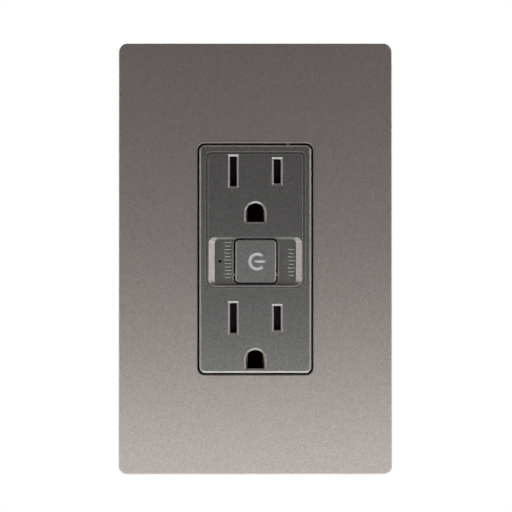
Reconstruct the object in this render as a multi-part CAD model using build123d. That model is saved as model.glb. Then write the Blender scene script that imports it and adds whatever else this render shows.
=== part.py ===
from build123d import *
import os
from math import cos, radians, sin

# A controlled duplex receptacle: two three-pin outlets and a rocking power button behind
# a screwless one-gang wall plate.  All sizes are in millimetres.
# X points right as seen from the room, Y points into the wall and Z points up.
# The origin is the middle of the two box screws, on the surface of the wall.

# ---- Standard positions of a one-gang device and of a 15 A, 125 V outlet ----
box_screw_pitch = 83.34
plate_screw_pitch = 96.84
blade_pitch = 12.7
ground_drop = 11.9
outlet_pitch = 42.4
upper_blades_z = 25.35
neutral_slot = (2.05, 8.64)
hot_slot = (2.1, 7.05)
ground_hole_r = 2.7
ground_hole_drop = 2.74
ground_hole_corner_r = 0.4

# ---- Wall plate and the sub-plate that it snaps onto ----
plate_w = 79.0
plate_h = 124.6
plate_depth = 6.6
plate_corner_r = 2.5
plate_edge = 0.6
plate_front_t = 1.8
plate_wall = 1.8
plate_inner_r = 1.0
opening_gap = 0.55
opening_corner_r = 2.0
opening_bevel = 0.3
collar_t = 1.0
rib_t = 1.0
rib_h = 0.8
side_rib_z = (-24.0, 0.0, 24.0)
end_rib_x = (-13.0, 13.0)
centring_rib_x = 9.45
centring_rib_w = 0.9
hook_w = 6.0
hook_t = 1.4
hook_gap = 0.2
hook_barb = 0.8
hook_catch_gap = 0.1
hook_tip_gap = 0.2
side_hook_z = (-42.0, -12.0, 12.0, 42.0)
end_hook_x = (-22.0, 22.0)
sub_plate_t = 2.0
sub_plate_play = 1.7
sub_plate_corner_r = 3.0
sub_plate_notch = 1.0
sub_window_gap = 0.45
lightening_w = 9.0
lightening_h = 23.0

# ---- Strap ----
strap_t = 1.3
strap_w = 33.0
strap_length = 106.4
strap_body_h = 68.0
strap_neck_w = 19.0
ear_h = 7.0
ear_corner_r = 2.5
break_notch = 1.3
box_slot = (6.4, 3.9)
thread_gap = 0.05
blade_window = (20.6, 13.0)
ground_window = 7.0
ground_tab_w = 5.9
ground_tab_depth = 10.6
ground_tab_gap = 0.3

# ---- Screws ----
stud_r = 1.75
stud_length = 20.0
stud_neck_r = 1.5
retainer_size = 7.0
retainer_t = 0.4
box_head_r = 3.2
box_head_h = 2.0
plate_screw_r = 1.7
plate_head_r = 2.8
plate_head_h = 1.1
plate_screw_end = 6.0
assembly_screw_r = 1.2
assembly_head_r = 2.2
assembly_head_h = 2.0
terminal_screw_r = 2.0
terminal_head_r = 3.3
terminal_head_h = 1.9
ground_head_r = 3.4

# ---- Face cover ----
face_w = 32.3
face_h = 65.8
face_proud = 7.0
face_corner_r = 1.6
face_edge = 0.45
face_front_t = 2.2
face_wall = 1.6
lead_in = 0.5
groove_depth = 0.25
groove_w = 0.85
groove_outer_w = 29.0
groove_top_z = 31.1
groove_bottom_z = -8.5
groove_bottom_w = 0.6
boss_inset_x = 3.55
boss_inset_z = 3.0
boss_r = 1.9
pilot_gap = 0.05
pilot_skin = 0.8
sleeve_t = 0.9

# ---- Control window and power button ----
window_floor = (23.6, 12.9)
window_floor_z = -0.65
window_floor_r = 1.3
window_depth = 1.1
window_slope_x = 1.65
window_slope_top = 0.45
window_slope_bottom = 0.6
window_outer_r = 1.8
button_w = 11.7
button_h = 12.4
button_x = 0.13
button_z = -0.68
button_r = 1.13
button_gap_x = 0.52
button_gap_z = 0.33
button_proud = 0.8
button_edge = 0.25
button_cap_t = 1.2
button_skirt_t = 1.0
button_skirt_depth = 1.1
button_rim = (0.35, 0.15)
button_lip = (6.0, 1.0, 0.5)
pivot_z = -4.45
pivot_depth = 1.95
pin_r = 0.5
pin_gap = 0.05
pin_length = 0.8
pin_boss_t = 1.7
pin_boss_h = 3.0
post_z = 3.4
post_w = 1.4
post_gap = 0.05
symbol_x = 0.58
symbol_z = -0.8
symbol_r = 2.65
symbol_stroke = 0.95
symbol_open_deg = 55.0
symbol_bar = (3.4, 0.88)
symbol_sink = 0.15
lens_base = 5.4
lens_base_t = 0.4
pinhole_x = -10.2
pinhole_r = 0.5
light_pipe_gap = 0.05
light_pipe_flange = 1.8
light_pipe_flange_t = 0.5

# ---- Control board ----
board_w = 24.0
board_h = 14.0
board_t = 1.0
board_front = -0.3
board_room = 0.5
board_post = 2.2
board_post_inset = 1.1
stake_w = 1.1
stake_head = 0.3
tact_size = 4.5
tact_h = 2.6
plunger_r = 1.5
plunger_gap = 0.05
plunger_length = 1.5
plunger_stroke = 0.45
led_size = (1.6, 0.6, 0.8)

# ---- Shutters behind the blade slots ----
shutter_travel = 2.6
shutter_t = 0.8
shutter_ramp_h = 0.75
shutter_front_gap = 0.15
shutter_cover = 0.5
shutter_margin_z = 0.75
shutter_side_gap = 0.15
cage_t = 0.8
cage_gap = 0.2
cage_rail_t = 0.6
cage_window = (3.0, 9.6)
spring_t = 0.2
spring_h = 1.4
spring_room = 3.9
spring_wall_t = 0.8
spring_wall_h = 4.0

# ---- Bodies behind the strap ----
core_w = 32.6
body_h = 70.0
wing_w = 42.0
wing_h = 44.0
body_corner_r = 2.0
middle_gap = 0.2
middle_t = 1.4
middle_lip_t = 1.0
middle_lip_depth = 2.4
housing_depth = 32.0
housing_wall = 1.8
taper_depth = 10.0
taper_in = 2.4
wing_depth = 26.0
wing_chamfer = 1.8
pocket_depth = 14.0
pocket_h = 40.0
barrier_t = 1.6
tube_r = 2.9
head_seat = 24.0
wire_entry = (3.0, 3.2)
wire_entry_spread = 3.9
label_recess = (17.0, 30.0, 0.3)
fit_gap = 0.15

# ---- Contacts, terminals and main board ----
contact_t = 0.6
grip_h = 6.0
grip_depth = 9.0
grip_entry = 1.9
grip_pinch = 0.95
grip_belly = 1.5
bus_w = 3.0
bridge_z = 5.0
bridge_w = 4.4
terminal_z = 12.5
terminal_y = 8.0
terminal_plate_t = 0.8
terminal_plate_h = 34.0
terminal_plate_d = 9.6
clamp_t = 1.2
clamp_size = (9.0, 8.4)
clamp_gap = 0.2
ground_flange = (11.6, 8.4, 0.8)
ground_leaf_x = 2.2
ground_leaf_h = 6.0
lug_x = 4.9
lug_size = (0.9, 3.0)
lug_head = 0.3
main_board_front = 16.6
main_board_t = 1.6
main_board_h = 51.0
support_r = 1.2

# ---- Values that follow from the ones above ----
face_y = -face_proud
face_inner_y = face_y + face_front_t
strap_front = -strap_t
sub_front = strap_front - sub_plate_t
plate_inner_y = -plate_depth + plate_front_t
housing_front = middle_gap + middle_t
lower_blades_z = upper_blades_z - outlet_pitch
blades_z = (upper_blades_z, lower_blades_z)
grounds_z = (upper_blades_z - ground_drop, lower_blades_z - ground_drop)
neutral_x = -blade_pitch / 2
hot_x = blade_pitch / 2
sub_w = plate_w - 2 * (plate_wall + sub_plate_play)
sub_h = plate_h - 2 * (plate_wall + sub_plate_play)
floor_y = face_y + window_depth
button_front = floor_y - button_proud
pivot_y = face_y + pivot_depth
boss_x = face_w / 2 - boss_inset_x
boss_z = face_h / 2 - boss_inset_z
button_opening = (button_w + 2 * button_gap_x, button_h + 2 * button_gap_z)
core_cavity = (core_w - 2 * housing_wall, body_h - 2 * housing_wall)
screw_way = 2 * (assembly_screw_r + fit_gap)
corners = [(x, z) for x in (-boss_x, boss_x) for z in (-boss_z, boss_z)]


# ---- Shared shapes ----
def prism(outline, front, back):
    """A front-view outline given depth; front and back are Y values, front the lower one."""
    return Pos(0, back, 0) * Rot(90, 0, 0) * extrude(outline, amount=back - front)


def taper(front_outline, back_outline, front, back):
    """A solid that changes from one outline at its front to another at its back."""
    front_face = Pos(0, front, 0) * Rot(90, 0, 0) * front_outline
    back_face = Pos(0, back, 0) * Rot(90, 0, 0) * back_outline
    return loft([back_face, front_face], ruled=True)


def rounded(width, height, radius, x=0, z=0):
    """A rounded rectangle in the front view."""
    return Pos(x, z) * RectangleRounded(width, height, radius)


def disc(radius, x=0, z=0):
    """A circle in the front view."""
    return Pos(x, z) * Circle(radius)


def rod(radius, front, back, x=0, z=0):
    """A round bar along Y."""
    return prism(disc(radius, x, z), front, back)


def cone(front_r, back_r, front, back, x=0, z=0):
    """A round taper along Y."""
    return Pos(x, (front + back) / 2, z) * Rot(90, 0, 0) * Cone(back_r, front_r, back - front)


def block(x, y, z):
    """A box from its low and high limits along each axis."""
    sizes = [high - low for low, high in (x, y, z)]
    middle = [(low + high) / 2 for low, high in (x, y, z)]
    return Pos(*middle) * Box(*sizes)


def square(width, height, x=0, z=0):
    """A sharp-cornered rectangle in the front view."""
    return Pos(x, z) * Rectangle(width, height)


def ground_outline(z):
    """The D-shaped ground hole: a half round above a flat foot with eased corners."""
    foot = square(2 * ground_hole_r, ground_hole_drop, 0, z - ground_hole_drop / 2)
    foot = fillet(foot.vertices().group_by(Axis.Y)[0], ground_hole_corner_r)
    return foot + disc(ground_hole_r, 0, z)


def tall_outline(width, top, bottom, top_r, bottom_r):
    """An upright rectangle whose top and bottom corners have their own radii."""
    shape = Pos(0, (top + bottom) / 2) * Rectangle(width, top - bottom)
    shape = fillet(shape.vertices().group_by(Axis.Y)[-1], top_r)
    return fillet(shape.vertices().group_by(Axis.Y)[0], bottom_r)


def body_outline():
    """The housings seen from the front: a tall core with a terminal wing on each side."""
    return rounded(core_w, body_h, body_corner_r) + square(wing_w, wing_h)


# ---- Wall plate ----
def snap_hook(edge):
    """A hook at +X that reaches back past a plate edge and catches behind it."""
    inner = edge + hook_gap
    catch = strap_front + hook_catch_gap
    outline = Polygon(
        (inner, plate_inner_y),
        (inner, catch),
        (inner - hook_barb, catch),
        (inner - hook_barb, catch + hook_t / 4),
        (inner, -hook_tip_gap),
        (inner + hook_t, -hook_tip_gap),
        (inner + hook_t, plate_inner_y),
        align=None,
    )
    return extrude(outline, amount=hook_w / 2, both=True)


def wall_plate():
    """A dished screwless cover with ribs inside and hooks for the sub-plate."""
    plate = prism(RectangleRounded(plate_w, plate_h, plate_corner_r), -plate_depth, 0)
    plate = chamfer(plate.faces().sort_by(Axis.Y)[0].edges(), plate_edge)
    inside_w = plate_w - 2 * plate_wall
    inside_h = plate_h - 2 * plate_wall
    plate -= prism(RectangleRounded(inside_w, inside_h, plate_inner_r), plate_inner_y, 0)

    open_w = face_w + 2 * opening_gap
    open_h = face_h + 2 * opening_gap
    opening = RectangleRounded(open_w, open_h, opening_corner_r)
    collar = RectangleRounded(open_w + 2 * collar_t, open_h + 2 * collar_t, opening_corner_r + collar_t)
    collar_back = sub_front - fit_gap
    plate += prism(collar, plate_inner_y, collar_back)
    rib_back = plate_inner_y + rib_h
    for z in side_rib_z:
        plate += block((-inside_w / 2, inside_w / 2), (plate_inner_y, rib_back), (z - rib_t / 2, z + rib_t / 2))
    for x in end_rib_x:
        plate += block((x - rib_t / 2, x + rib_t / 2), (plate_inner_y, rib_back), (-inside_h / 2, inside_h / 2))
    plate -= prism(opening, -plate_depth, 0)
    mouth = plate.faces().sort_by(Axis.Y)[0].inner_wires()[0].edges()
    plate = chamfer(mouth, opening_bevel)

    rib_x = (centring_rib_x - centring_rib_w / 2, centring_rib_x + centring_rib_w / 2)
    rib_z = (open_h / 2 - opening_gap + hook_catch_gap, open_h / 2 + collar_t / 2)
    plate += block(rib_x, (-plate_depth + opening_bevel, collar_back), rib_z)

    side_hook = snap_hook(sub_w / 2 - sub_plate_notch)
    end_hook = Rot(0, -90, 0) * snap_hook(sub_h / 2 - sub_plate_notch)
    for turn in (0, 180):
        for z in side_hook_z:
            plate += Rot(0, turn, 0) * Pos(0, 0, z) * side_hook
        for x in end_hook_x:
            plate += Rot(0, turn, 0) * Pos(x, 0, 0) * end_hook
    return plate


def sub_plate():
    """The frame that is screwed to the strap and carries the wall plate."""
    plate = prism(RectangleRounded(sub_w, sub_h, sub_plate_corner_r), sub_front, strap_front)
    window = rounded(face_w + 2 * sub_window_gap, face_h + 2 * sub_window_gap, face_corner_r)
    plate -= prism(window, sub_front, strap_front)
    notch_half = hook_w / 2 + fit_gap
    for side in (-1, 1):
        inner, outer = side * (sub_w / 2 - sub_plate_notch), side * sub_w
        for z in side_hook_z:
            plate -= block(sorted((inner, outer)), (sub_front, strap_front), (z - notch_half, z + notch_half))
        inner, outer = side * (sub_h / 2 - sub_plate_notch), side * sub_h
        for x in end_hook_x:
            plate -= block((x - notch_half, x + notch_half), (sub_front, strap_front), sorted((inner, outer)))
        z = side * plate_screw_pitch / 2
        plate -= cone(plate_head_r + 2 * fit_gap, plate_screw_r + fit_gap, sub_front, strap_front, 0, z)
        head_way = 2 * (box_head_r + fit_gap)
        plate -= prism(square(head_way, head_way, 0, side * box_screw_pitch / 2), sub_front, strap_front)
        field_x = side * (face_w + sub_w) / 4
        for z in (-0.6 * lightening_h, 0.6 * lightening_h):
            plate -= prism(square(lightening_w, lightening_h, field_x, z), sub_front, strap_front)
    return plate


# ---- Strap and its screws ----
def strap():
    """The steel strap: ears for the wall, windows for the blades and a ground tab."""
    outline = Rectangle(strap_w, strap_body_h) + Rectangle(strap_neck_w, strap_length)
    ear = square(strap_w, ear_h, 0, (strap_length - ear_h) / 2)
    ear = fillet(ear.vertices().group_by(Axis.Y)[-1], ear_corner_r)
    outline += ear + Rot(0, 0, 180) * ear
    for side in (-1, 1):
        for x in (-strap_neck_w / 2, strap_neck_w / 2):
            outline -= Pos(x, side * strap_length / 2) * Rot(0, 0, 45) * Rectangle(break_notch, break_notch)
        outline -= Pos(0, side * box_screw_pitch / 2) * SlotOverall(*box_slot)
        outline -= disc(plate_screw_r + thread_gap, 0, side * plate_screw_pitch / 2)
    for z, ground_z in zip(blades_z, grounds_z):
        outline -= square(*blade_window, 0, z)
        outline -= square(ground_window, ground_window, 0, ground_z)
        for x in (-lug_x, lug_x):
            outline -= square(lug_size[0] + 2 * thread_gap, lug_size[1] + 2 * thread_gap, x, ground_z)
    outline -= square(board_w + 2 * board_room, board_h + 3 * board_room, 0, window_floor_z)
    for x, z in corners:
        outline -= square(screw_way, screw_way, x, z)
    return prism(outline, strap_front, 0) + ground_tab()


def ground_tab_x():
    """The tab's limits along X, just outside the strap's neck."""
    right = -strap_neck_w / 2 - 2 * ground_tab_gap
    return (right - ground_tab_w, right)


def ground_tab():
    """A tab bent back from the lower left of the strap for the ground screw."""
    low, high = ground_tab_x()
    top = -body_h / 2 - ground_tab_gap
    bottom = top - strap_t
    tab = block((low, high), (strap_front, 0), (bottom, -strap_body_h / 2 + 1))
    tab += block((low, high), (strap_front, ground_tab_depth), (bottom, top))
    bend = tab.edges().filter_by(Axis.X).sort_by(lambda edge: edge.center().Y + edge.center().Z)[0]
    tab = fillet(bend, strap_t * 0.8)
    hole = Cylinder(terminal_screw_r + thread_gap, 4 * strap_t)
    return tab - Pos((low + high) / 2, ground_tab_depth / 2, bottom) * hole


def ground_screw():
    """The green screw in the ground tab, with its head below the tab."""
    x = sum(ground_tab_x()) / 2
    y = ground_tab_depth / 2
    seat = -body_h / 2 - ground_tab_gap - strap_t
    shank_top = -body_h / 2 - fit_gap
    shank = Pos(x, y, (seat + shank_top) / 2) * Cylinder(terminal_screw_r, shank_top - seat)
    head = Pos(x, y, seat - terminal_head_h / 2) * Cylinder(ground_head_r, terminal_head_h)
    return shank + head


def box_screws():
    """Two screws that hold the strap to the wall box, each with an undercut neck."""
    screws = []
    for z in (-box_screw_pitch / 2, box_screw_pitch / 2):
        head = rod(box_head_r, strap_front - box_head_h, strap_front, 0, z)
        neck = rod(stud_neck_r, strap_front, retainer_t + thread_gap, 0, z)
        screws.append(head + neck + rod(stud_r, retainer_t + thread_gap, stud_length, 0, z))
    return Part() + screws


def screw_retainers():
    """Square fibre washers that keep the box screws in the strap."""
    washers = []
    for z in (-box_screw_pitch / 2, box_screw_pitch / 2):
        outline = square(retainer_size, retainer_size, 0, z) - disc(stud_neck_r + 2 * thread_gap, 0, z)
        washers.append(prism(outline, 0, retainer_t))
    return Part() + washers


def plate_screws():
    """Two flat-head screws that hold the sub-plate to the strap."""
    screws = []
    for z in (-plate_screw_pitch / 2, plate_screw_pitch / 2):
        head = cone(plate_head_r, plate_screw_r, sub_front, sub_front + plate_head_h, 0, z)
        screws.append(head + rod(plate_screw_r, sub_front + plate_head_h, plate_screw_end, 0, z))
    return Part() + screws


# ---- Face cover ----
def window_outline():
    """The rim of the control window at the face."""
    top = window_floor_z + window_floor[1] / 2 + window_slope_top
    bottom = window_floor_z - window_floor[1] / 2 - window_slope_bottom
    width = window_floor[0] + 2 * window_slope_x
    return rounded(width, top - bottom, window_outer_r, 0, (top + bottom) / 2)


def groove():
    """The shallow channel round the upper outlet and the control window."""
    outer = tall_outline(groove_outer_w, groove_top_z, groove_bottom_z, 1.5, 2.9)
    inner_top = groove_top_z - groove_w
    inner_bottom = groove_bottom_z + groove_bottom_w
    inner = tall_outline(groove_outer_w - 2 * groove_w, inner_top, inner_bottom, 0.9, 2.2)
    return prism(outer - inner, face_y, face_y + groove_depth)


def outlet_edges(cover, z):
    """The front edges of one outlet's two slots and ground hole."""
    reach_x = hot_x + hot_slot[0]
    low = z - ground_drop - ground_hole_drop - lead_in
    high = z + neutral_slot[1] / 2 + lead_in
    front = cover.edges().filter_by(lambda edge: abs(edge.bounding_box().max.Y - face_y) < 1e-4)
    return [edge for edge in front if abs(edge.center().X) < reach_x and low < edge.center().Z < high]


def pin_boss(side):
    """A boss beside the button opening that takes one of the button's pins."""
    inner = button_x + side * button_opening[0] / 2
    outer = inner + side * pin_boss_t
    half = pin_boss_h / 2
    back = pivot_y + pin_r + pin_gap + 0.6
    boss = block(sorted((inner, outer)), (floor_y + 0.3, back), (pivot_z - half, pivot_z + half))
    depth = pin_length + fit_gap
    bore = Pos(inner + side * depth / 2, pivot_y, pivot_z) * Rot(0, 90, 0) * Cylinder(pin_r + pin_gap, depth)
    return boss, bore


def face_cover():
    """The front of the device: outlet slots, control window and the bosses inside."""
    cover = prism(RectangleRounded(face_w, face_h, face_corner_r), face_y, strap_front)
    cover = chamfer(cover.faces().sort_by(Axis.Y)[0].edges(), face_edge)
    inside = (face_w - 2 * face_wall, face_h - 2 * face_wall)
    cover -= prism(Rectangle(*inside), face_inner_y, strap_front)
    for z, ground_z in zip(blades_z, grounds_z):
        sleeve = (2 * (ground_hole_r + sleeve_t), ground_hole_r + ground_hole_drop + 2 * sleeve_t)
        sleeve_z = ground_z + (ground_hole_r - ground_hole_drop) / 2
        cover += prism(square(*sleeve, 0, sleeve_z), face_inner_y, strap_front - fit_gap)
        cover -= prism(square(*neutral_slot, neutral_x, z), face_y, face_inner_y)
        cover -= prism(square(*hot_slot, hot_x, z), face_y, face_inner_y)
        cover -= prism(ground_outline(ground_z), face_y, strap_front)
        cover = chamfer(outlet_edges(cover, z), lead_in)
    cover -= groove()

    floor = rounded(*window_floor, window_floor_r, 0, window_floor_z)
    cover -= taper(window_outline(), floor, face_y, floor_y)
    opening = rounded(*button_opening, button_r + 0.2, button_x, window_floor_z)
    rim_t, rim_h = button_rim
    rim_size = (button_opening[0] + 2 * rim_t, window_floor[1])
    rim = rounded(*rim_size, button_r + 0.2 + rim_t, button_x, window_floor_z)
    cover += prism(rim, floor_y - rim_h, floor_y)
    cover -= prism(opening, face_y, face_inner_y)

    for x, z in corners:
        cover += prism(corner_pillar(x, z, boss_r, inside), face_inner_y, strap_front)
        pilot = 2 * (assembly_screw_r + pilot_gap)
        cover -= prism(square(pilot, pilot, x, z), face_y + pilot_skin, strap_front)
    for x, z in board_posts():
        cover += prism(square(board_post, board_post, x, z), face_inner_y, board_front)
    for x, z in stakes():
        cover += prism(square(stake_w, stake_w, x, z), board_front, board_front + board_t + stake_head)
    for side in (-1, 1):
        boss, bore = pin_boss(side)
        cover += boss
        cover -= bore
    cover -= rod(pinhole_r, floor_y, face_inner_y, pinhole_x, window_floor_z)
    return cover


def corner_pillar(x, z, radius, inside):
    """A square pillar round a screw centre that reaches out to both walls of its corner."""
    limits = []
    for centre, half in ((x, inside[0] / 2), (z, inside[1] / 2)):
        side = 1 if centre > 0 else -1
        limits.append(sorted((centre - side * radius, side * half)))
    (left, right), (bottom, top) = limits
    return square(right - left, top - bottom, (left + right) / 2, (bottom + top) / 2)


def board_posts():
    """Centres of the four posts that carry the control board."""
    half_w = board_w / 2 - board_post_inset
    half_h = board_h / 2 - board_post_inset
    return [(x, window_floor_z + z) for x in (-half_w, half_w) for z in (-half_h, half_h)]


def stakes():
    """The two posts, on one diagonal, that are staked over the board."""
    posts = board_posts()
    return [posts[0], posts[-1]]


# ---- Power button and the parts behind it ----
def power_symbol():
    """A broken ring and a bar, turned so that the bar points right."""
    middle_r = symbol_r - symbol_stroke / 2
    reach = 2 * symbol_r
    open_x = reach * cos(radians(symbol_open_deg))
    open_z = reach * sin(radians(symbol_open_deg))
    wedge = Polygon((0, 0), (open_x, -open_z), (reach, -open_z), (reach, open_z), (open_x, open_z), align=None)
    ring = Circle(symbol_r) - Circle(symbol_r - symbol_stroke) - wedge
    for turn in (-symbol_open_deg, symbol_open_deg):
        end_x = middle_r * cos(radians(turn))
        end_z = middle_r * sin(radians(turn))
        ring += disc(symbol_stroke / 2, end_x, end_z)
    bar = Pos(symbol_bar[0] / 2 - symbol_bar[1], 0) * SlotOverall(*symbol_bar)
    return Pos(symbol_x, symbol_z) * (ring + bar)


def power_button():
    """A square rocking cap with a skirt, two side pins, a stop lip and a pusher."""
    outline = rounded(button_w, button_h, button_r, button_x, button_z)
    cap_back = button_front + button_cap_t
    skirt_back = cap_back + button_skirt_depth
    cap = prism(outline, button_front, skirt_back)
    cap = chamfer(cap.faces().sort_by(Axis.Y)[0].edges(), button_edge)
    inner_size = (button_w - 2 * button_skirt_t, button_h - 2 * button_skirt_t)
    cap -= prism(square(*inner_size, button_x, button_z), cap_back, skirt_back)
    cap -= prism(power_symbol(), button_front, cap_back)
    for side in (-1, 1):
        root = button_x + side * (button_w / 2 - button_skirt_t / 2)
        tip = button_x + side * (button_opening[0] / 2 + pin_length)
        length = abs(tip - root)
        cap += Pos((root + tip) / 2, pivot_y, pivot_z) * Rot(0, 90, 0) * Cylinder(pin_r, length)
    lip_w, lip_h, lip_t = button_lip
    top = button_z + button_h / 2
    lip_front = face_inner_y + fit_gap
    lip_x = (button_x - lip_w / 2, button_x + lip_w / 2)
    cap += block(lip_x, (lip_front, lip_front + lip_t), (top - button_skirt_t, top + lip_h))
    pusher_back = plunger_front() - post_gap
    return cap + prism(square(post_w, post_w, button_x, post_z), cap_back, pusher_back)


def power_symbol_lens():
    """The translucent insert that shows the symbol through the cap."""
    cap_back = button_front + button_cap_t
    lens = prism(power_symbol(), button_front + symbol_sink, cap_back)
    return lens + prism(square(lens_base, lens_base, symbol_x, symbol_z), cap_back, cap_back + lens_base_t)


def status_light_pipe():
    """A clear pin that carries light from the board to the hole in the window."""
    radius = pinhole_r - light_pipe_gap
    led_front = board_front - led_size[1]
    pipe = rod(radius, floor_y + 0.4, led_front - fit_gap, pinhole_x, window_floor_z)
    flange_front = face_inner_y + thread_gap
    flange = square(light_pipe_flange, light_pipe_flange, pinhole_x, window_floor_z)
    return pipe + prism(flange, flange_front, flange_front + light_pipe_flange_t)


def plunger_front():
    """Y of the switch plunger's front at rest."""
    return board_front - tact_h - 0.5


def control_board():
    """The small board behind the button, held on four staked posts."""
    outline = square(board_w, board_h, 0, window_floor_z)
    for x, z in stakes():
        outline -= square(stake_w + 2 * thread_gap, stake_w + 2 * thread_gap, x, z)
    return prism(outline, board_front, board_front + board_t)


def indicator_leds():
    """Two light sources on the board: one for the pinhole, one for the symbol."""
    leds = []
    width, depth, height = led_size
    for x, z in ((pinhole_x, window_floor_z), (symbol_x, symbol_z)):
        limits_x = (x - width / 2, x + width / 2)
        leds.append(block(limits_x, (board_front - depth, board_front), (z - height / 2, z + height / 2)))
    return Part() + leds


def tact_switch_body():
    """The case of the push switch on the board."""
    front = board_front - tact_h
    case = prism(square(tact_size, tact_size, button_x, post_z), front, board_front)
    bore_back = plunger_front() + plunger_length + plunger_stroke
    return case - rod(plunger_r + plunger_gap, front, bore_back, button_x, post_z)


def tact_plunger():
    """The moving pin of the push switch."""
    front = plunger_front()
    return rod(plunger_r, front, front + plunger_length, button_x, post_z)


def board_header():
    """The plug that joins the control board to the main board."""
    case_back = board_front + board_t
    half_w = 4.4
    half_h = 1.3
    limits_z = (window_floor_z - half_h, window_floor_z + half_h)
    return block((-half_w, half_w), (case_back, main_board_front), limits_z)


# ---- Shutters ----
def shutter_back():
    """Y of the back of a shutter."""
    return face_inner_y + shutter_front_gap + shutter_ramp_h + shutter_t


def shutter_profile():
    """A shutter seen from above: two ramps and a clear way for one blade between them."""
    front = face_inner_y + shutter_front_gap
    plate_front = front + shutter_ramp_h
    back = shutter_back()
    half = neutral_slot[0] / 2 + shutter_cover
    left = neutral_x - half
    right = hot_x + half
    outline = Pos((left + right) / 2, (plate_front + back) / 2) * Rectangle(right - left, back - plate_front)
    for x in (neutral_x, hot_x):
        ramp = Polygon(
            (x - half, plate_front),
            (x - half, front),
            (x - half + 0.4, front),
            (x + half, plate_front),
            align=None,
        )
        outline += ramp
    way = (neutral_x + half, neutral_x + half + shutter_travel - shutter_cover + 0.2)
    outline -= Pos(sum(way) / 2, (front + back) / 2) * Rectangle(way[1] - way[0], 2 * (back - front))
    return outline


def shutter(z):
    """One sliding shutter with both of its lands joined above and below the way."""
    half_h = neutral_slot[1] / 2 + shutter_margin_z
    lands = Pos(0, 0, z) * extrude(shutter_profile(), amount=half_h, both=True)
    half = neutral_slot[0] / 2 + shutter_cover
    tie_x = (neutral_x, neutral_x + half + shutter_travel + 1)
    tie_y = (shutter_back() - shutter_t, shutter_back())
    clear = neutral_slot[1] / 2 + 0.15
    for low, high in ((z - half_h, z - clear), (z + clear, z + half_h)):
        lands += block(tie_x, tie_y, (low, high))
    return lands


def shutter_rest_x():
    """The two ends of a shutter at rest."""
    half = neutral_slot[0] / 2 + shutter_cover
    return (neutral_x - half, hot_x + half)


def shutter_cage(z):
    """The frame that a shutter slides in: a back plate, two rails, a stop and a spring wall."""
    front = shutter_back() + cage_gap
    back = front + cage_t
    left, right = shutter_rest_x()
    rail_inner = neutral_slot[1] / 2 + shutter_margin_z + shutter_side_gap
    rail_outer = rail_inner + cage_rail_t
    plate_x = (left - shutter_travel, right + 2 * cage_rail_t)
    cage = block(plate_x, (front, back), (z - rail_outer, z + rail_outer))
    for x in (neutral_x, hot_x):
        cage -= prism(square(*cage_window, x, z), front, back)
    rail_front = face_inner_y + thread_gap
    for low, high in ((z - rail_outer, z - rail_inner), (z + rail_inner, z + rail_outer)):
        cage += block((left + 1, plate_x[1]), (rail_front, front), (low, high))
    stop_x = (right + fit_gap, right + fit_gap + cage_rail_t)
    cage += block(stop_x, (rail_front, front), (z - rail_outer, z + rail_outer))
    wall_x = left - spring_room - spring_wall_t
    half = spring_wall_h / 2
    cage += block((wall_x, plate_x[0] + 1), (front, back), (z - half, z + half))
    cage += block((wall_x, wall_x + spring_wall_t), (rail_front, front), (z - half, z + half))
    foot_back = strap_front - thread_gap
    for low, high in ((z - rail_outer, z - rail_inner), (z + rail_inner, z + rail_outer)):
        cage += block((neutral_x, hot_x), (back, foot_back), (low, high))
    return cage


def shutter_spring(z):
    """A thin folded strip between a shutter and the spring wall of its cage."""
    left = shutter_rest_x()[0]
    start = left - spring_room + spring_t / 2 + thread_gap
    end = left - spring_t / 2 - thread_gap
    front = face_inner_y + 3 * spring_t
    back = shutter_back() - spring_t
    fold = (end - start) / 4
    points = [(start, back), (start, front), (start + fold, front), (start + fold, back)]
    points += [(start + 2 * fold, back), (start + 2 * fold, front), (start + 3 * fold, front)]
    points += [(start + 3 * fold, back), (end, back), (end, front)]
    strip = trace(Polyline(*points), spring_t)
    return Pos(0, 0, z) * extrude(strip, amount=spring_h / 2, both=True)


# ---- Middle housing, contacts and terminals ----
def grip(x, z):
    """A spring contact that closes on a blade: two bowed leaves and the strip that joins them."""
    base = grip_depth - contact_t / 2
    entry = housing_front + contact_t / 2
    path = Polyline(
        (-grip_entry, entry),
        (-grip_pinch, entry + 1.6),
        (-grip_belly, entry + 4.2),
        (-grip_belly, base),
        (grip_belly, base),
        (grip_belly, entry + 4.2),
        (grip_pinch, entry + 1.6),
        (grip_entry, entry),
    )
    strip = trace(path, contact_t)
    return Pos(x, 0, z) * extrude(strip, amount=grip_h / 2, both=True)


def terminal_plate(side, bridge):
    """A tapped plate on one side of the body with the strip that leads in to it."""
    inner = side * (core_w / 2 + clamp_gap / 2)
    outer = inner + side * terminal_plate_t
    half_d = terminal_plate_d / 2
    half_h = terminal_plate_h / 2
    plate = block(sorted((inner, outer)), (terminal_y - half_d, terminal_y + half_d), (-half_h, half_h))
    for z in (-terminal_z, terminal_z):
        plate -= side_rod(terminal_screw_r + thread_gap, side, inner, outer, z)
    for y in (terminal_y - half_d, terminal_y + half_d):
        plate -= block(sorted((inner, outer)), (y - 1.8, y + 1.8), (-1.2, 1.2))
    strip_y = (grip_depth - contact_t, grip_depth)
    strip_z = (bridge - bridge_w / 2, bridge + bridge_w / 2)
    return plate + block(sorted((side * blade_pitch / 2, inner + side * terminal_plate_t / 2)), strip_y, strip_z)


def side_rod(radius, side, inner, outer, z):
    """A round bar along X at a terminal, between two X values."""
    middle = (inner + outer) / 2
    return Pos(middle, terminal_y, z) * Rot(0, 90, 0) * Cylinder(radius, abs(outer - inner))


def bus(x, low, high):
    """The strip that runs up the back of the grips."""
    return block((x - bus_w / 2, x + bus_w / 2), (grip_depth - contact_t, grip_depth), (low, high))


def board_tab(x, z):
    """A tab that reaches back to the main board."""
    return block((x - 1.3, x + 1.3), (grip_depth - contact_t, main_board_front), (z - 0.3, z + 0.3))


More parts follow.
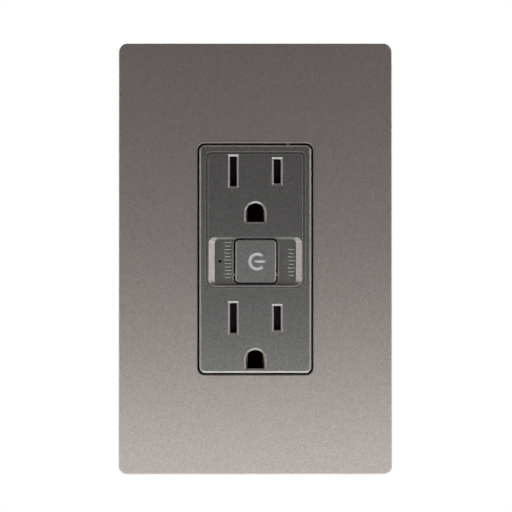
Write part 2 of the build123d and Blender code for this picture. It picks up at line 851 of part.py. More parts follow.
def neutral_contact():
    """Both neutral grips on one strip, with the left terminal plate."""
    part = grip(neutral_x, upper_blades_z) + grip(neutral_x, lower_blades_z)
    part += bus(neutral_x, lower_blades_z, upper_blades_z)
    part += terminal_plate(-1, bridge_z)
    return part + board_tab(neutral_x, upper_blades_z - grip_h / 2)


def hot_contact_upper():
    """The switched hot grip and its tab to the main board."""
    part = grip(hot_x, upper_blades_z) + bus(hot_x, upper_blades_z - grip_h, upper_blades_z)
    return part + board_tab(hot_x, upper_blades_z - grip_h / 2)


def hot_contact_lower():
    """The lower hot grip with the right terminal plate."""
    part = grip(hot_x, lower_blades_z) + bus(hot_x, lower_blades_z, -bridge_z + bridge_w / 2)
    part += terminal_plate(1, -bridge_z)
    return part + board_tab(hot_x, lower_blades_z + grip_h / 2)


def ground_contacts():
    """A flange staked to the strap, with two leaves for the ground pin, for each outlet."""
    width, height, thickness = ground_flange
    parts = []
    for z in grounds_z:
        flange = square(width, height, 0, z) - square(2 * ground_leaf_x, ground_leaf_h, 0, z)
        part = prism(flange, 0, thickness)
        for x in (-lug_x, lug_x):
            part += prism(square(*lug_size, x, z), strap_front - lug_head, thickness)
        for side in (-1, 1):
            inner, outer = side * ground_leaf_x, side * (ground_leaf_x + contact_t)
            leaf = block(sorted((inner, outer)), (0, grip_depth), (z - ground_leaf_h / 2, z + ground_leaf_h / 2))
            ends = leaf.edges().filter_by(Axis.X).group_by(Axis.Y)[-1]
            part += chamfer(ends, ground_leaf_h / 5)
        parts.append(part)
    return Part() + parts


def middle_housing():
    """The plate that closes the body behind the strap, with lanes for the contacts."""
    outline = body_outline()
    window_w = 2 * (grip_entry + contact_t + 0.35)
    for z, ground_z in zip(blades_z, grounds_z):
        for x in (neutral_x, hot_x):
            outline -= square(window_w, grip_h + 4 * rib_t, x, z)
        outline -= square(ground_flange[0] + 2 * board_room, ground_flange[1] + 2 * board_room, 0, ground_z)
    outline -= square(board_w + 2 * board_room, board_h + 2 * board_room, 0, window_floor_z)
    for x, z in corners:
        outline -= square(screw_way, screw_way, x, z)
    part = prism(outline, middle_gap, housing_front)
    lip_outer = (core_cavity[0] - 2 * fit_gap, core_cavity[1] - 2 * fit_gap)
    lip = Rectangle(*lip_outer) - Rectangle(*[size - 2 * middle_lip_t for size in lip_outer])
    for x, z in corners:
        lip -= corner_pillar(x, z, tube_r + fit_gap, core_cavity)
    part += prism(lip, middle_gap + middle_t / 2, housing_front + middle_lip_depth)
    rib_x = blade_pitch / 2 - window_w / 2 - rib_t / 2
    for z in blades_z:
        for x in (-rib_x, rib_x):
            half = grip_h / 2 + 1.5
            rib_y = (middle_gap + middle_t / 2, grip_depth - 2)
            part += block((x - rib_t / 2, x + rib_t / 2), rib_y, (z - half, z + half))
    for side in (-1, 1):
        inner = side * (core_w / 2 - housing_wall)
        outer = side * core_w / 2
        half = bridge_w / 2 + fit_gap
        z = -side * bridge_z
        tongue_back = grip_depth - contact_t - fit_gap
        part += block(sorted((inner, outer)), (middle_gap + middle_t / 2, tongue_back), (z - half, z + half))
    return part


def terminal_stack(side):
    """X of the terminal plate's outer face, the clamp's two faces and the head's outer face."""
    plate = side * (core_w / 2 + clamp_gap / 2 + terminal_plate_t)
    clamp_in = plate + side * clamp_gap
    clamp_out = clamp_in + side * clamp_t
    return plate, clamp_in, clamp_out, clamp_out + side * terminal_head_h


def terminal_screws(side):
    """The two terminal screws on one side."""
    plate, clamp_in, seat, head_out = terminal_stack(side)
    tip = side * (core_w / 2 - housing_wall / 2)
    screws = []
    for z in (-terminal_z, terminal_z):
        head = side_rod(terminal_head_r, side, seat, head_out, z)
        screws.append(head + side_rod(terminal_screw_r, side, tip, seat, z))
    return Part() + screws


def clamp_plates(side):
    """The pressure plates under the terminal screws on one side."""
    plate, clamp_in, clamp_out, head_out = terminal_stack(side)
    depth, height = clamp_size
    clamps = []
    for z in (-terminal_z, terminal_z):
        limits_y = (terminal_y - depth / 2, terminal_y + depth / 2)
        clamp = block(sorted((clamp_in, clamp_out)), limits_y, (z - height / 2, z + height / 2))
        half = terminal_screw_r + fit_gap
        way = (terminal_y - half, terminal_y + depth)
        clamp -= block(sorted((clamp_in, clamp_out)), way, (z - half, z + half))
        clamps.append(clamp)
    return Part() + clamps


# ---- Rear housing and electronics ----
def side_pockets():
    """The open recesses on both sides that hold the terminals, with a barrier between screws."""
    cuts = []
    inner = core_w / 2
    for side in (-1, 1):
        limits_x = sorted((side * inner, side * wing_w))
        for low, high in ((barrier_t / 2, pocket_h / 2), (-pocket_h / 2, -barrier_t / 2)):
            cuts.append(block(limits_x, (housing_front, pocket_depth), (low, high)))
        slot_x = sorted((side * inner, side * (inner + clamp_gap + terminal_plate_t + fit_gap)))
        cuts.append(block(slot_x, (housing_front, pocket_depth), (-barrier_t, barrier_t)))
        bridge_half = bridge_w / 2 + 2 * fit_gap
        z = -side * bridge_z
        wall_x = sorted((side * (inner - housing_wall - 0.1), side * inner))
        cuts.append(block(wall_x, (housing_front, grip_depth + fit_gap), (z - bridge_half, z + bridge_half)))
        for z in (-terminal_z, terminal_z):
            relief_x = sorted((side * (inner - housing_wall + 0.5), side * inner))
            reach = terminal_screw_r + 0.4
            cuts.append(block(relief_x, (terminal_y - reach, terminal_y + reach), (z - reach, z + reach)))
            for wire_z in (z - wire_entry_spread, z + wire_entry_spread):
                entry_x = side * (inner + clamp_gap / 2 + terminal_plate_t + wire_entry[0] / 2 - 0.4)
                cuts.append(prism(square(*wire_entry, entry_x, wire_z), pocket_depth, wing_depth))
    return cuts


def rear_housing():
    """The back of the device: a tapered core, two terminal wings and four screw tubes."""
    shell = prism(rounded(core_w, body_h, body_corner_r), housing_front, housing_depth)
    wings = prism(Rectangle(wing_w, wing_h), housing_front, wing_depth)
    shell += chamfer(wings.faces().sort_by(Axis.Y)[-1].edges().filter_by(Axis.Z), wing_chamfer)
    straight_back = housing_depth - taper_depth
    inner_back = housing_depth - housing_wall
    hollow = prism(Rectangle(*core_cavity), housing_front, straight_back)
    hollow += prism(Rectangle(core_cavity[0], core_cavity[1] - 2 * taper_in), housing_front, inner_back)
    for x, z in corners:
        hollow -= prism(corner_pillar(x, z, tube_r, core_cavity), housing_front, inner_back)
    shell -= hollow
    for turn in (0, 180):
        shell -= Rot(0, turn, 0) * end_slope()
    for x, z in corners:
        shell -= prism(square(screw_way, screw_way, x, z), housing_front, head_seat)
        shell -= rod(assembly_head_r + 2 * fit_gap, head_seat, housing_depth, x, z)
    for cut in side_pockets():
        shell -= cut
    width, height, depth = label_recess
    shell -= prism(Rectangle(width, height), housing_depth - depth, housing_depth)
    back = main_board_front + main_board_t
    for x, z in board_supports():
        shell += prism(square(2 * support_r, 2 * support_r, x, z), back, inner_back + fit_gap)
    return shell


def end_slope():
    """The wedge that is cut away where the upper end slopes in towards the back."""
    start = housing_depth - taper_depth
    end = body_h / 2
    outline = Polygon((start, end), (housing_depth, end - taper_in), (housing_depth, end), align=None)
    return Plane.YZ * extrude(outline, amount=core_w, both=True)


def board_supports():
    """Centres of the posts behind the main board."""
    half_w = core_cavity[0] / 2 - 2
    half_h = main_board_h / 2 - 2.5
    return [(x, z) for x in (-half_w, half_w) for z in (-half_h, half_h)]


def assembly_screws():
    """Four long screws from the back that clamp the whole device together."""
    screws = []
    tip = face_y + pilot_skin + 0.3
    for x, z in corners:
        head = rod(assembly_head_r, head_seat, head_seat + assembly_head_h, x, z)
        screws.append(head + rod(assembly_screw_r, tip, head_seat, x, z))
    return Part() + screws


def main_board():
    """The board that carries the relay, the supply and the radio."""
    width = core_cavity[0] - 4 * fit_gap
    return prism(Rectangle(width, main_board_h), main_board_front, main_board_front + main_board_t)


def board_box(x, z, depth):
    """A square part that stands on the back of the main board."""
    back = main_board_front + main_board_t
    return block(x, (back, back + depth), z)


def relay():
    """The relay that switches the upper outlet."""
    case = board_box((-13.4, 5.0), (5.5, 20.5), 10.4)
    return chamfer(case.faces().sort_by(Axis.Y)[-1].edges(), 0.3)


def transformer():
    """A small wound transformer: core limbs round a bobbin."""
    core = board_box((-13.2, 0.8), (-20.5, -8.5), 9.5)
    core -= board_box((-11.4, -1.0), (-21.0, -17.5), 9.5)
    core -= board_box((-11.4, -1.0), (-11.5, -8.0), 9.5)
    return core + board_box((-11.0, -1.4), (-19.8, -9.2), 8.2)


def capacitors():
    """Two round supply capacitors."""
    back = main_board_front + main_board_t
    cans = []
    for z in (-9.0, -18.0):
        cans.append(rod(3.9, back, back + 10.6, 7.4, z))
    return Part() + cans


def radio_module():
    """The shielded radio on the front of the main board."""
    card = block((-4.5, 4.5), (main_board_front - 0.8, main_board_front), (-24.0, -6.0))
    can = block((-3.9, 3.9), (main_board_front - 2.6, main_board_front - 0.8), (-20.0, -6.6))
    return card + can


nodes = {
    "wall_plate": wall_plate(),
    "sub_plate": sub_plate(),
    "plate_screws": plate_screws(),
    "strap": strap(),
    "box_screws": box_screws(),
    "screw_retainers": screw_retainers(),
    "ground_screw": ground_screw(),
    "face_cover": face_cover(),
    "power_button": power_button(),
    "power_symbol_lens": power_symbol_lens(),
    "status_light_pipe": status_light_pipe(),
    "control_board": control_board(),
    "indicator_leds": indicator_leds(),
    "tact_switch_body": tact_switch_body(),
    "tact_plunger": tact_plunger(),
    "board_header": board_header(),
    "middle_housing": middle_housing(),
    "neutral_contact": neutral_contact(),
    "hot_contact_upper": hot_contact_upper(),
    "hot_contact_lower": hot_contact_lower(),
    "ground_contacts": ground_contacts(),
    "neutral_terminal_screws": terminal_screws(-1),
    "hot_terminal_screws": terminal_screws(1),
    "neutral_clamp_plates": clamp_plates(-1),
    "hot_clamp_plates": clamp_plates(1),
    "rear_housing": rear_housing(),
    "assembly_screws": assembly_screws(),
    "main_board": main_board(),
    "relay": relay(),
    "transformer": transformer(),
    "capacitors": capacitors(),
    "radio_module": radio_module(),
}
for outlet, blade_z in zip(("upper", "lower"), blades_z):
    nodes[f"shutter_{outlet}"] = shutter(blade_z)
    nodes[f"shutter_cage_{outlet}"] = shutter_cage(blade_z)
    nodes[f"shutter_spring_{outlet}"] = shutter_spring(blade_z)

os.makedirs("parts", exist_ok=True)
for name, solid in nodes.items():
    export_step(solid, f"parts/{name}.step")
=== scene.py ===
from math import ceil, cos, pi, radians, sin

import bmesh
import bpy
from bpy.props import FloatProperty, FloatVectorProperty, IntProperty, PointerProperty
from mathutils import Matrix, Vector


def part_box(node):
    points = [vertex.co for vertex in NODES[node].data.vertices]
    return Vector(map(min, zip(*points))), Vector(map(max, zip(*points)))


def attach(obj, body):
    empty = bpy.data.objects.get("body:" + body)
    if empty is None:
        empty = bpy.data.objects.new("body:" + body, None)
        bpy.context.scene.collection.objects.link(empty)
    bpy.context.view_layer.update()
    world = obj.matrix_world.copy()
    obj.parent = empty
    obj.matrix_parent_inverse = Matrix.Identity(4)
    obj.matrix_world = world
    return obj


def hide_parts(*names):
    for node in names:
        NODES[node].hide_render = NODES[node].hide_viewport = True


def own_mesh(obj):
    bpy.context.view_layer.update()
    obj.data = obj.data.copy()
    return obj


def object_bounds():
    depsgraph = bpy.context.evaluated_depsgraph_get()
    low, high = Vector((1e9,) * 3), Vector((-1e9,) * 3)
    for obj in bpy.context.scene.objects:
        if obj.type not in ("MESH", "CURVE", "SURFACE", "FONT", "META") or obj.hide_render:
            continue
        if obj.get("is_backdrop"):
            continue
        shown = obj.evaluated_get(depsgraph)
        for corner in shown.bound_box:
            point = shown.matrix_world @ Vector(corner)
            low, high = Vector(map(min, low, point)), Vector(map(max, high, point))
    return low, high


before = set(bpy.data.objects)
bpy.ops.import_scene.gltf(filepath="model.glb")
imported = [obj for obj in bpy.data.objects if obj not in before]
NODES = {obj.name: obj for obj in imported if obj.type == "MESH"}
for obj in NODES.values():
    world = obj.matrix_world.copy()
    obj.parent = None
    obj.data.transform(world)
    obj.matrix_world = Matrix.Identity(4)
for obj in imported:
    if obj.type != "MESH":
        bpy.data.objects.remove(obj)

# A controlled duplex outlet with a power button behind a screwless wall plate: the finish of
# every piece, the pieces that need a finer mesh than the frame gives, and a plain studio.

bl_info = {
    "name": "Controlled Duplex Outlet",
    "version": (1, 0, 0),
    "blender": (4, 5, 0),
    "location": "View3D > Sidebar > Outlet",
    "description": "Builds the finish and the fine detail of a controlled duplex outlet",
    "category": "Add Mesh",
}

MM = 0.001


# ---- Settings that a user may change ----
LENGTH = {"unit": "LENGTH", "precision": 5}
COLOUR = {"subtype": "COLOR", "min": 0, "max": 1}


class OutletShape(bpy.types.PropertyGroup):
    """Sizes of the pieces that are built here."""

    edge_radius: FloatProperty(
        name="Plate edge", description="Rounding of the plate's front edge", default=0.35 * MM, **LENGTH
    )
    plate_corner: FloatProperty(
        name="Plate corner", description="Corner radius of the wall plate", default=2.5 * MM, **LENGTH
    )
    plate_wall: FloatProperty(
        name="Plate wall", description="Thickness of the plate", default=1.8 * MM, **LENGTH
    )
    opening_gap: FloatProperty(
        name="Opening gap", description="Gap between the device and the plate", default=0.55 * MM, **LENGTH
    )
    opening_corner: FloatProperty(
        name="Opening corner", description="Corner radius of the opening", default=2.0 * MM, **LENGTH
    )
    opening_edge: FloatProperty(
        name="Opening edge", description="Rounding round the plate's opening", default=0.3 * MM, **LENGTH
    )
    corner_steps: IntProperty(
        name="Corner steps", description="Faces round each corner", default=10, min=3, max=32
    )
    thread_pitch: FloatProperty(
        name="Thread pitch", description="Pitch of the 6-32 screws", default=0.794 * MM, **LENGTH
    )
    thread_sides: IntProperty(
        name="Thread sides", description="Faces round each thread", default=20, min=8, max=64
    )
    tick_height: FloatProperty(
        name="Tick height", description="Height of the marks in the window", default=0.05 * MM, **LENGTH
    )


class OutletLook(bpy.types.PropertyGroup):
    """Colours and finish."""

    plate_colour: FloatVectorProperty(
        name="Plate", description="Satin paint of the wall plate", default=(0.505, 0.455, 0.44), **COLOUR
    )
    device_colour: FloatVectorProperty(
        name="Device", description="Satin paint of face and button", default=(0.318, 0.311, 0.307), **COLOUR
    )
    symbol_colour: FloatVectorProperty(
        name="Symbol", description="The translucent power symbol", default=(0.84, 0.85, 0.95), **COLOUR
    )
    housing_colour: FloatVectorProperty(
        name="Housing", description="Moulded plastic of the body", default=(0.045, 0.045, 0.048), **COLOUR
    )
    paint_metal: FloatProperty(
        name="Paint metal", description="How metallic the satin paint looks", default=0.85, subtype="FACTOR"
    )
    paint_roughness: FloatProperty(
        name="Paint roughness", description="Roughness of the satin paint", default=0.5, subtype="FACTOR"
    )
    speckle: FloatProperty(
        name="Speckle", description="Strength of the paint's fine speckle", default=0.26, subtype="FACTOR"
    )


# ---- Mesh helpers ----
def finished(name, bm, sharp=radians(32), weld=1e-7):
    """A linked object made from a bmesh, smooth except at its sharp edges."""
    if weld:
        bmesh.ops.remove_doubles(bm, verts=bm.verts, dist=weld)
    bmesh.ops.recalc_face_normals(bm, faces=bm.faces)
    mesh = bpy.data.meshes.new(name)
    bm.to_mesh(mesh)
    bm.free()
    mesh.polygons.foreach_set("use_smooth", [True] * len(mesh.polygons))
    mesh.set_sharp_from_angle(angle=sharp)
    piece = bpy.data.objects.new(name, mesh)
    bpy.context.scene.collection.objects.link(piece)
    return piece


def rounded_ring(half_w, half_h, radius, y, steps, x=0.0, z=0.0):
    """Points round a rounded rectangle at one depth."""
    points = []
    for quarter, (side_x, side_z) in enumerate(((1, 1), (-1, 1), (-1, -1), (1, -1))):
        centre_x = x + side_x * (half_w - radius)
        centre_z = z + side_z * (half_h - radius)
        for step in range(steps + 1):
            turn = (quarter + step / steps) * pi / 2
            points.append(Vector((centre_x + radius * cos(turn), y, centre_z + radius * sin(turn))))
    return points


def skin(bm, rings, loop=False, caps=True):
    """Faces between rings that all have the same number of points."""
    rows = [[bm.verts.new(point) for point in ring] for ring in rings]
    pairs = list(zip(rows, rows[1:])) + ([(rows[-1], rows[0])] if loop else [])
    for low, high in pairs:
        for i in range(len(low)):
            j = (i + 1) % len(low)
            bm.faces.new((low[i], low[j], high[j], high[i]))
    if caps and not loop:
        bm.faces.new(rows[0])
        bm.faces.new(list(reversed(rows[-1])))


def bar(bm, outline, along):
    """A closed bar: an outline of points carried along a vector."""
    first = [bm.verts.new(point) for point in outline]
    last = [bm.verts.new(Vector(point) + Vector(along)) for point in outline]
    for i in range(len(first)):
        j = (i + 1) % len(first)
        bm.faces.new((first[i], first[j], last[j], last[i]))
    bm.faces.new(list(reversed(first)))
    bm.faces.new(last)


def slab(bm, low, high):
    """A box between two corners."""
    x0, y0, z0 = low
    x1, y1, z1 = high
    bar(bm, [(x0, y0, z0), (x1, y0, z0), (x1, y1, z0), (x0, y1, z0)], (0, 0, z1 - z0))


def evaluated_copy(piece):
    """The piece with its modifiers made real."""
    graph = bpy.context.evaluated_depsgraph_get()
    mesh = bpy.data.meshes.new_from_object(piece.evaluated_get(graph))
    old = piece.data
    piece.modifiers.clear()
    piece.data = mesh
    bpy.data.meshes.remove(old)
    return piece


def revolve(bm, rows, sides):
    """A closed solid of revolution about Y: rows are (y, radius) where radius may depend on the turn."""
    grid = []
    for y, radius in rows:
        ring = []
        for side in range(sides):
            turn = 2 * pi * side / sides
            r = radius(turn) if callable(radius) else radius
            ring.append(bm.verts.new((r * cos(turn), y, r * sin(turn))))
        grid.append(ring)
    for low, high in zip(grid, grid[1:]):
        for i in range(sides):
            j = (i + 1) % sides
            bm.faces.new((low[i], low[j], high[j], high[i]))
    bm.faces.new(grid[0])
    bm.faces.new(list(reversed(grid[-1])))


def thread_rows(start, end, crest, root, pitch):
    """Rows of a helical thread between two depths, fading to the root at both ends."""
    count = max(2, ceil((end - start) / (pitch / 6)))
    rows = []
    for i in range(count + 1):
        y = start + (end - start) * i / count
        fade = min(1.0, (y - start) / pitch, (end - y) / pitch)

        def radius(turn, y=y, fade=fade):
            phase = (y / pitch - turn / (2 * pi)) % 1.0
            return root + (crest - root) * fade * (1 - abs(2 * phase - 1))

        rows.append((y, radius))
    return rows


def driven_screw(name, rows, sides, slots):
    """A screw along +Y with its head at the origin, cut by driver slots of (length, width, depth, turn)."""
    bm = bmesh.new()
    revolve(bm, rows, sides)
    screw = finished(name, bm)
    top = rows[0][0]
    for length, width, depth, turn in slots:
        cut = bmesh.new()
        slab(cut, (-length / 2, top - depth, -width / 2), (length / 2, top + depth, width / 2))
        bmesh.ops.rotate(cut, verts=cut.verts, matrix=Matrix.Rotation(turn, 3, "Y"))
        cutter = finished(name + "_cut", cut)
        boolean = screw.modifiers.new("slot", "BOOLEAN")
        boolean.operation = "DIFFERENCE"
        boolean.object = cutter
        evaluated_copy(screw)
        bpy.data.objects.remove(cutter)
    return screw


def scattered(name, pattern, places):
    """One object made of copies of a pattern at several places, each a matrix."""
    bm = bmesh.new()
    for place in places:
        copy = pattern.data.copy()
        copy.transform(place)
        bm.from_mesh(copy)
        bpy.data.meshes.remove(copy)
    bpy.data.objects.remove(pattern)
    return finished(name, bm, weld=0)


# ---- Shader groups and finishes ----
def socket(group, name, way, kind="NodeSocketFloat", value=None):
    """One socket on a shader group."""
    made = group.interface.new_socket(name=name, in_out=way, socket_type=kind)
    if value is not None:
        made.default_value = value
    return made


def maths(tree, operation, first, second=None, clamp=False):
    """A math node fed with sockets or numbers."""
    node = tree.nodes.new("ShaderNodeMath")
    node.operation = operation
    node.use_clamp = clamp
    for slot, value in zip(node.inputs, (first, second)):
        if isinstance(value, (int, float)):
            slot.default_value = value
        elif value is not None:
            tree.links.new(value, slot)
    return node.outputs[0]


def noise(tree, vector, scale, detail=2.0, roughness=0.5):
    """A noise node in object space."""
    node = tree.nodes.new("ShaderNodeTexNoise")
    node.inputs["Detail"].default_value = detail
    node.inputs["Roughness"].default_value = roughness
    if isinstance(scale, (int, float)):
        node.inputs["Scale"].default_value = scale
    else:
        tree.links.new(scale, node.inputs["Scale"])
    tree.links.new(vector, node.inputs["Vector"])
    return node


def paint_group():
    """Metallic flake: fine speckle, a slower mottle and the height of the paint's orange peel."""
    group = bpy.data.node_groups.new(GROUP_NAMES[paint_group], "ShaderNodeTree")
    socket(group, "Flake scale", "INPUT", value=3200.0)
    socket(group, "Speckle", "OUTPUT")
    socket(group, "Tint", "OUTPUT", "NodeSocketColor")
    socket(group, "Height", "OUTPUT")
    given = group.nodes.new("NodeGroupInput")
    out = group.nodes.new("NodeGroupOutput")
    where = group.nodes.new("ShaderNodeTexCoord").outputs["Object"]
    fine = noise(group, where, given.outputs["Flake scale"], 3.0, 0.65)
    slow = noise(group, where, maths(group, "MULTIPLY", given.outputs["Flake scale"], 0.4), 2.0)
    peel = noise(group, where, maths(group, "MULTIPLY", given.outputs["Flake scale"], 0.6), 1.0)
    fine_share = maths(group, "MULTIPLY", fine.outputs["Fac"], 0.85)
    slow_share = maths(group, "MULTIPLY", slow.outputs["Fac"], 0.15)
    peel_share = maths(group, "MULTIPLY", peel.outputs["Fac"], 0.6)
    mixed = maths(group, "ADD", fine_share, slow_share)
    group.links.new(mixed, out.inputs["Speckle"])
    group.links.new(slow.outputs["Color"], out.inputs["Tint"])
    group.links.new(maths(group, "ADD", peel_share, mixed), out.inputs["Height"])
    return group


def moulding_group():
    """Spark-eroded moulding texture: a fine grain, slower blotches and the height of both."""
    group = bpy.data.node_groups.new(GROUP_NAMES[moulding_group], "ShaderNodeTree")
    socket(group, "Grain scale", "INPUT", value=2600.0)
    socket(group, "Grain", "OUTPUT")
    socket(group, "Blotch", "OUTPUT")
    given = group.nodes.new("NodeGroupInput")
    out = group.nodes.new("NodeGroupOutput")
    where = group.nodes.new("ShaderNodeTexCoord").outputs["Object"]
    grain = noise(group, where, given.outputs["Grain scale"], 4.0, 0.6)
    blotch = noise(group, where, maths(group, "MULTIPLY", given.outputs["Grain scale"], 0.05), 3.0)
    group.links.new(grain.outputs["Fac"], out.inputs["Grain"])
    group.links.new(blotch.outputs["Fac"], out.inputs["Blotch"])
    return group


def rolling_group():
    """Rolled or drawn metal: fine lines along one axis and slow patches of plating."""
    group = bpy.data.node_groups.new(GROUP_NAMES[rolling_group], "ShaderNodeTree")
    socket(group, "Stretch", "INPUT", "NodeSocketVector", (1.0, 1.0, 0.06))
    socket(group, "Lines", "OUTPUT")
    socket(group, "Patches", "OUTPUT")
    given = group.nodes.new("NodeGroupInput")
    out = group.nodes.new("NodeGroupOutput")
    where = group.nodes.new("ShaderNodeTexCoord").outputs["Object"]
    scaled = group.nodes.new("ShaderNodeVectorMath")
    scaled.operation = "MULTIPLY"
    group.links.new(where, scaled.inputs[0])
    group.links.new(given.outputs["Stretch"], scaled.inputs[1])
    lines = noise(group, scaled.outputs[0], 5200.0, 3.0, 0.6)
    patches = noise(group, where, 260.0, 3.0, 0.6)
    group.links.new(lines.outputs["Fac"], out.inputs["Lines"])
    group.links.new(patches.outputs["Fac"], out.inputs["Patches"])
    return group


def edge_group():
    """A mask that is one along convex edges, from a rounded normal against the true one; the finishes paint
    highlights along edges with it.
    """
    group = bpy.data.node_groups.new(GROUP_NAMES[edge_group], "ShaderNodeTree")
    socket(group, "Width", "INPUT", value=0.25 * MM)
    socket(group, "Edge", "OUTPUT")
    socket(group, "Normal", "OUTPUT", "NodeSocketVector")
    given = group.nodes.new("NodeGroupInput")
    out = group.nodes.new("NodeGroupOutput")
    bevel = group.nodes.new("ShaderNodeBevel")
    bevel.samples = 6
    group.links.new(given.outputs["Width"], bevel.inputs["Radius"])
    shape = group.nodes.new("ShaderNodeNewGeometry")
    dot = group.nodes.new("ShaderNodeVectorMath")
    dot.operation = "DOT_PRODUCT"
    group.links.new(bevel.outputs["Normal"], dot.inputs[0])
    group.links.new(shape.outputs["Normal"], dot.inputs[1])
    away = maths(group, "SUBTRACT", 1.0, dot.outputs["Value"])
    group.links.new(maths(group, "MULTIPLY", away, 6.0, clamp=True), out.inputs["Edge"])
    group.links.new(bevel.outputs["Normal"], out.inputs["Normal"])
    return group


def board_group():
    """Copper tracks and pads under solder mask."""
    group = bpy.data.node_groups.new(GROUP_NAMES[board_group], "ShaderNodeTree")
    socket(group, "Tracks", "OUTPUT")
    socket(group, "Pads", "OUTPUT")
    out = group.nodes.new("NodeGroupOutput")
    where = group.nodes.new("ShaderNodeTexCoord").outputs["Object"]
    turned = group.nodes.new("ShaderNodeMapping")
    turned.inputs["Rotation"].default_value = (radians(90), 0, 0)
    group.links.new(where, turned.inputs["Vector"])
    bricks = group.nodes.new("ShaderNodeTexBrick")
    bricks.inputs["Scale"].default_value = 420.0
    bricks.inputs["Mortar Size"].default_value = 0.045
    bricks.inputs["Brick Width"].default_value = 1.3
    group.links.new(turned.outputs["Vector"], bricks.inputs["Vector"])
    dots = group.nodes.new("ShaderNodeTexVoronoi")
    dots.inputs["Scale"].default_value = 400.0
    dots.inputs["Randomness"].default_value = 0.35
    group.links.new(where, dots.inputs["Vector"])
    group.links.new(bricks.outputs["Fac"], out.inputs["Tracks"])
    group.links.new(maths(group, "LESS_THAN", dots.outputs["Distance"], 0.16), out.inputs["Pads"])
    return group


GROUP_NAMES = {
    paint_group: "Flake paint",
    moulding_group: "Moulding texture",
    rolling_group: "Rolled metal",
    edge_group: "Edge highlight and rounding",
    board_group: "Board tracks",
}


def shared_group(maker):
    """The group that a maker builds, built once."""
    return bpy.data.node_groups.get(GROUP_NAMES[maker]) or maker()


def new_material(name):
    """A material with its shader, ready for links."""
    material = bpy.data.materials.new(name)
    material.use_nodes = True
    return material, material.node_tree, material.node_tree.nodes["Principled BSDF"]


def use(tree, maker):
    """A shared group placed in a material."""
    node = tree.nodes.new("ShaderNodeGroup")
    node.node_tree = shared_group(maker)
    return node


def blended(tree, factor, first, second, mode="MIX"):
    """A colour mix fed with sockets, colours or numbers."""
    node = tree.nodes.new("ShaderNodeMix")
    node.data_type = "RGBA"
    node.blend_type = mode
    for name, value in (("Factor", factor), ("A", first), ("B", second)):
        slot = node.inputs[name]
        if isinstance(value, bpy.types.NodeSocket):
            tree.links.new(value, slot)
        elif isinstance(value, (int, float)):
            slot.default_value = value
        else:
            slot.default_value = (*value, 1.0)
    return node.outputs["Result"]


def ranged(tree, value, low, high):
    """A zero-to-one value spread between two limits."""
    node = tree.nodes.new("ShaderNodeMapRange")
    tree.links.new(value, node.inputs["Value"])
    node.inputs["To Min"].default_value = low
    node.inputs["To Max"].default_value = high
    return node.outputs["Result"]


def bumped(tree, shader, height, distance, strength=1.0, normal=None):
    """A bump on the shader's normal."""
    bump = tree.nodes.new("ShaderNodeBump")
    bump.inputs["Distance"].default_value = distance
    bump.inputs["Strength"].default_value = strength
    tree.links.new(height, bump.inputs["Height"])
    if normal is not None:
        tree.links.new(normal, bump.inputs["Normal"])
    tree.links.new(bump.outputs["Normal"], shader.inputs["Normal"])


def scaled_colour(colour, amount):
    """A colour made lighter or darker."""
    return tuple(min(1.0, channel * amount) for channel in colour)


def satin_paint(name, colour, roughness, edge_highlight=1.25):
    """Metallic satin paint over moulded plastic: flake, faint tint changes and a painted highlight along
    the edges.
    """
    look = bpy.context.scene.outlet_look
    material, tree, shader = new_material(name)
    flake = use(tree, paint_group)
    edge = use(tree, edge_group)
    darker, lighter = scaled_colour(colour, 1 - look.speckle), scaled_colour(colour, 1 + look.speckle)
    base = blended(tree, ranged(tree, flake.outputs["Speckle"], -1.0, 2.0), darker, lighter)
    tinted = blended(tree, 0.09, base, flake.outputs["Tint"], "OVERLAY")
    # Painted highlight: the colour is raised along edges, standing in for the light their rounding would
    # catch.
    lit = blended(tree, edge.outputs["Edge"], tinted, scaled_colour(colour, edge_highlight))
    tree.links.new(lit, shader.inputs["Base Color"])
    shader.inputs["Metallic"].default_value = look.paint_metal
    rough = ranged(tree, flake.outputs["Speckle"], roughness - 0.05, roughness + 0.07)
    tree.links.new(rough, shader.inputs["Roughness"])
    bumped(tree, shader, flake.outputs["Height"], 0.006 * MM, 0.5)
    return material


def moulded_plastic(name, colour, roughness=0.55, depth=0.01):
    """Matte moulded plastic with a spark-eroded grain and edges made paler by a painted highlight."""
    material, tree, shader = new_material(name)
    grain = use(tree, moulding_group)
    edge = use(tree, edge_group)
    base = blended(tree, grain.outputs["Blotch"], scaled_colour(colour, 0.8), scaled_colour(colour, 1.25))
    # Painted highlight: paler colour along edges.
    lit = blended(tree, edge.outputs["Edge"], base, scaled_colour(colour, 1.9))
    tree.links.new(lit, shader.inputs["Base Color"])
    rough = ranged(tree, grain.outputs["Grain"], roughness - 0.08, roughness + 0.1)
    tree.links.new(rough, shader.inputs["Roughness"])
    shader.inputs["Specular IOR Level"].default_value = 0.4
    bumped(tree, shader, grain.outputs["Grain"], depth * MM, 0.8)
    return material


def plated_metal(name, colour, roughness=0.3, stretch=(1.0, 1.0, 0.06), dull=0.8):
    """Plated or rolled metal with fine lines, duller patches and bright edges from a painted highlight."""
    material, tree, shader = new_material(name)
    rolled = use(tree, rolling_group)
    rolled.inputs["Stretch"].default_value = stretch
    edge = use(tree, edge_group)
    duller, brighter = scaled_colour(colour, dull), scaled_colour(colour, 1.08)
    base = blended(tree, rolled.outputs["Patches"], duller, brighter)
    # Painted highlight: brighter colour along edges.
    lit = blended(tree, edge.outputs["Edge"], base, scaled_colour(colour, 1.2))
    tree.links.new(lit, shader.inputs["Base Color"])
    shader.inputs["Metallic"].default_value = 1.0
    both = maths(tree, "MULTIPLY", rolled.outputs["Lines"], rolled.outputs["Patches"])
    tree.links.new(ranged(tree, both, roughness - 0.08, roughness + 0.3), shader.inputs["Roughness"])
    bumped(tree, shader, rolled.outputs["Lines"], 0.003 * MM, 0.5)
    return material


